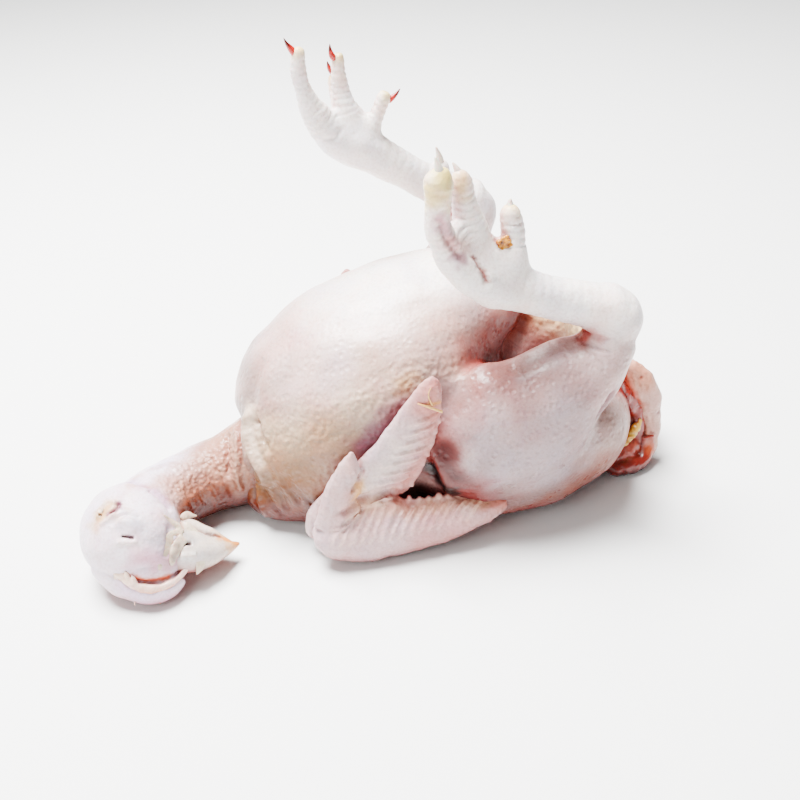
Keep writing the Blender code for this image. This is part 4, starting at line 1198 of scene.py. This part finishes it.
def makeWing(name, elbow, wrist, tip, side, thumb, lean):
    look = wingLook
    bm = bmesh.new()
    elbow, wrist, tip, thumb = Vector(elbow), Vector(wrist), Vector(tip), Vector(thumb)
    forearm = Blade(elbow, wrist, look["forearm"], lean, bow=(0.0, 0.15 * side, -0.25))
    hand = Blade(wrist - Vector((0.0, 0.95 * side, 0.0)), tip, look["hand"], (0.85, 0.0, -0.53),
                 bow=(0.5, 0.0, -0.2))
    digit = Blade(wrist.lerp(tip, 0.06), thumb, look["thumb"], (0.85, 0.0, -0.53))
    for part in (forearm, hand, digit):
        part.build(bm)
    ridges = []
    for part, count, slant, size in ((forearm, look["quills"], 0.16, 0.2),
                                     (hand, look["handQuills"], -0.14, 0.15)):
        for k in range(count):
            share = 0.06 + 0.80 * k / (count - 1)
            wobble = 0.03 * math.sin(k * 4.1)
            lump(bm, part.at(share, 0.93 + wobble, 0.0), (size * 0.8, size * 0.9, size * 1.1 + wobble))
            path = [part.at(share + slant * t, 0.95 - 1.15 * t, side * (0.3 + 0.75 * t)) for t in (0.0,
                                                                                                   0.35,
                                                                                                   0.7,
                                                                                                   1.0)]
            ridges.append(([tuple(point) for point in path], 0.12 + 0.02 * math.sin(k * 2.3),
                           0.11 + 0.03 * math.sin(k * 3.7)))
    mesh = fuse(bm, fineness["smallVoxel"], 0.07)
    clay = Clay(mesh)
    for path, width, height in ridges:
        clay.stroke(path, width, height, ends=0.3)
    fold = [tuple(forearm.at(share, 0.9, side * 0.6)) for share in (0.55, 0.7, 0.85, 0.97)]
    clay.stroke([tuple(hand.at(share, -0.75, side * 0.9)) for share in (0.05, 0.2, 0.36, 0.42)], 0.16,
                -0.18)
    clay.stroke([tuple(Vector(point) + Vector((0.0, 0.0, 0.35))) for point in fold], 0.22, -0.2)
    clay.stroke(fold, 0.22, 0.14)
    clay.stroke([tuple(hand.at(share, way, side * 0.9)) for share, way in
                 ((0.88, 0.1), (0.93, -0.2), (0.98, 0.3), (0.95, 0.8), (0.89, 0.6))], 0.08, 0.07)
    clay.lift(0.03 * roll(clay.at, 1.2, 121) + 0.012 * roll(clay.at, 0.35, 122))
    clay.at[:, 2] = np.maximum(clay.at[:, 2], 0.0)
    clay.refresh()
    mesh = thinned(mesh, fineness["wingFaces"])

    def line(part, stations):
        return [tuple(part.at(share, way, side)) for share, way in stations]
    rose, yellow = (0.74, 0.52, 0.49), (0.86, 0.66, 0.38)
    washes = [(line(forearm, ((0.1, 0.3), (0.5, 0.4), (0.8, 0.4))), 1.3, (0.70, 0.56, 0.56), 0.6),
              (line(hand, ((0.25, 0.7), (0.5, 0.7), (0.8, 0.6))), 0.9, (0.70, 0.56, 0.56), 0.6)]
    washes += [(path, 0.1, (0.86, 0.76, 0.73), 0.6) for path, width, height in ridges]
    washes += [
        (line(forearm, ((-0.05, 0.0), (0.04, 0.2))), 0.6, (0.66, 0.40, 0.34), 0.85),
        (line(forearm, ((0.1, 0.8), (0.5, 0.95), (0.8, 0.95))), 0.5, (0.84, 0.66, 0.52), 0.6),
        (line(forearm, ((0.1, -0.7), (0.5, -0.9))), 0.7, rose, 0.35),
        (line(forearm, ((0.3, 0.1), (0.7, 0.1))), 0.9, (0.76, 0.66, 0.68), 0.35),
        (line(hand, ((0.16, 0.9), (0.26, 1.0))), 0.5, (0.62, 0.36, 0.32), 0.7),
        (line(hand, ((0.3, 0.9), (0.6, 0.9), (0.85, 0.8))), 0.5, rose, 0.6),
        (line(hand, ((0.86, 0.3), (0.97, 0.2))), 0.7, (0.72, 0.46, 0.42), 0.75),
        (line(hand, ((0.3, -0.1), (0.6, 0.0))), 0.8, (0.84, 0.78, 0.74), 0.6),
        (line(digit, ((0.6, 1.0), (0.45, 1.1))), 0.3, yellow, 0.7),
        (line(digit, ((0.3, 0.2), (0.5, 0.2))), 0.5, rose, 0.35),
        (line(digit, ((0.8, 0.0), (1.0, 0.0))), 0.4, (0.84, 0.66, 0.62), 0.5),
        (line(hand, ((0.87, 0.2), (0.9, 0.9))), 0.12, yellow, 0.8),
    ]
    paintedPiece(name, mesh, look["skin"], washes, skin, 0.6, 0.45)
    bm = bmesh.new()    # quill stub lying across the wing near its tip
    stub = [hand.at(share, way, side * 1.2) for share, way in ((0.86, -0.6), (0.865, 0.1), (0.87, 0.9))]
    tube(bm, [(*stub[0], 0.03), (*stub[1], 0.055), (*stub[2], 0.07)], up=(0.0, 0.3, 1.0))
    quill = [hand.at(share, way, side * 1.15) for share,
             way in ((0.96, -0.2), (0.92, -0.1), (0.88, 0.35))]
    tube(bm, [(*quill[0], 0.02), (*quill[1], 0.035), (*quill[2], 0.03)], up=(0.0, 0.3, 1.0))
    paintedPiece(name + "Quill", closedMesh(bm), (0.88, 0.74, 0.50), [], skin)


studio = {
    "floor": (0.86, 0.86, 0.85, 1.0),
    "sky": (1.0, 1.0, 1.0, 1.0),
    "skyStrength": 0.25,
    "lamps": [    # name, place in metres, size, watts
        ("topLamp", (-0.25, 0.2, 1.1), 0.6, 118),
        ("frontLamp", (-0.8, -0.7, 0.8), 0.8, 10),
    ],
    "eye": (-11.06, -45.11, 36.0),    # squares
    "right": (0.98376, -0.17703, -0.0290),
    "up": (0.12436, 0.55636, 0.8216),
    "lens": 44.17,
}


def makeStudio():
    bm = bmesh.new()
    bmesh.ops.create_grid(bm, x_segments=2, y_segments=2, size=3.0)
    mesh = bpy.data.meshes.new("floor")
    bm.to_mesh(mesh)
    bm.free()
    material, tree, shader = newMaterial("floorPaper")
    shader.inputs["Base Color"].default_value = studio["floor"]
    shader.inputs["Roughness"].default_value = 0.9
    mesh.materials.append(material)
    floor = bpy.data.objects.new("floor", mesh)
    floor.location.z = low.z - 0.0002
    bpy.context.scene.collection.objects.link(floor)
    world = bpy.data.worlds.new("studio")
    world.use_nodes = True
    world.node_tree.nodes["Background"].inputs["Color"].default_value = studio["sky"]
    world.node_tree.nodes["Background"].inputs["Strength"].default_value = studio["skyStrength"]
    bpy.context.scene.world = world
    for name, place, size, watts in studio["lamps"]:
        lamp = bpy.data.lights.new(name, "AREA")
        lamp.size = size
        lamp.energy = watts
        item = bpy.data.objects.new(name, lamp)
        item.location = place
        item.rotation_euler = (Vector((0.0, 0.0, 0.06)) - Vector(place)).to_track_quat("-Z",
                                                                                       "Y").to_euler()
        bpy.context.scene.collection.objects.link(item)
    right, up = Vector(studio["right"]), Vector(studio["up"])
    back = right.cross(up)
    camera = bpy.data.cameras.new("camera")
    camera.lens = studio["lens"]
    camera.sensor_width = 36
    item = bpy.data.objects.new("camera", camera)
    turn = Matrix((right, up, back)).transposed().to_4x4()
    item.matrix_world = Matrix.Translation(toRow @ Vector(studio["eye"])) @ turn
    bpy.context.scene.collection.objects.link(item)
    bpy.context.scene.camera = item


makeStudio()
skin = paintedMaterial("birdSkin")
makeBody()
makeHead()
makeBeak()
makeComb()
makeShreds()
makeClaws()
makeTail()
makeScab()
makeWing("nearWing", (0.0, -7.25, 2.35), (-8.9, -7.5, 1.75), (-3.3, -7.0, 10.3), -1, (-7.5, -7.2, 6.7),
         (0.0, 0.35, 0.94))
makeWing("farWing", (-1.8, 6.8, 2.0), (-9.2, 6.9, 1.75), (-5.6, 6.7, 9.4), 1, (-9.2, 6.8, 6.0),
         (0.0, -0.35, 0.94))
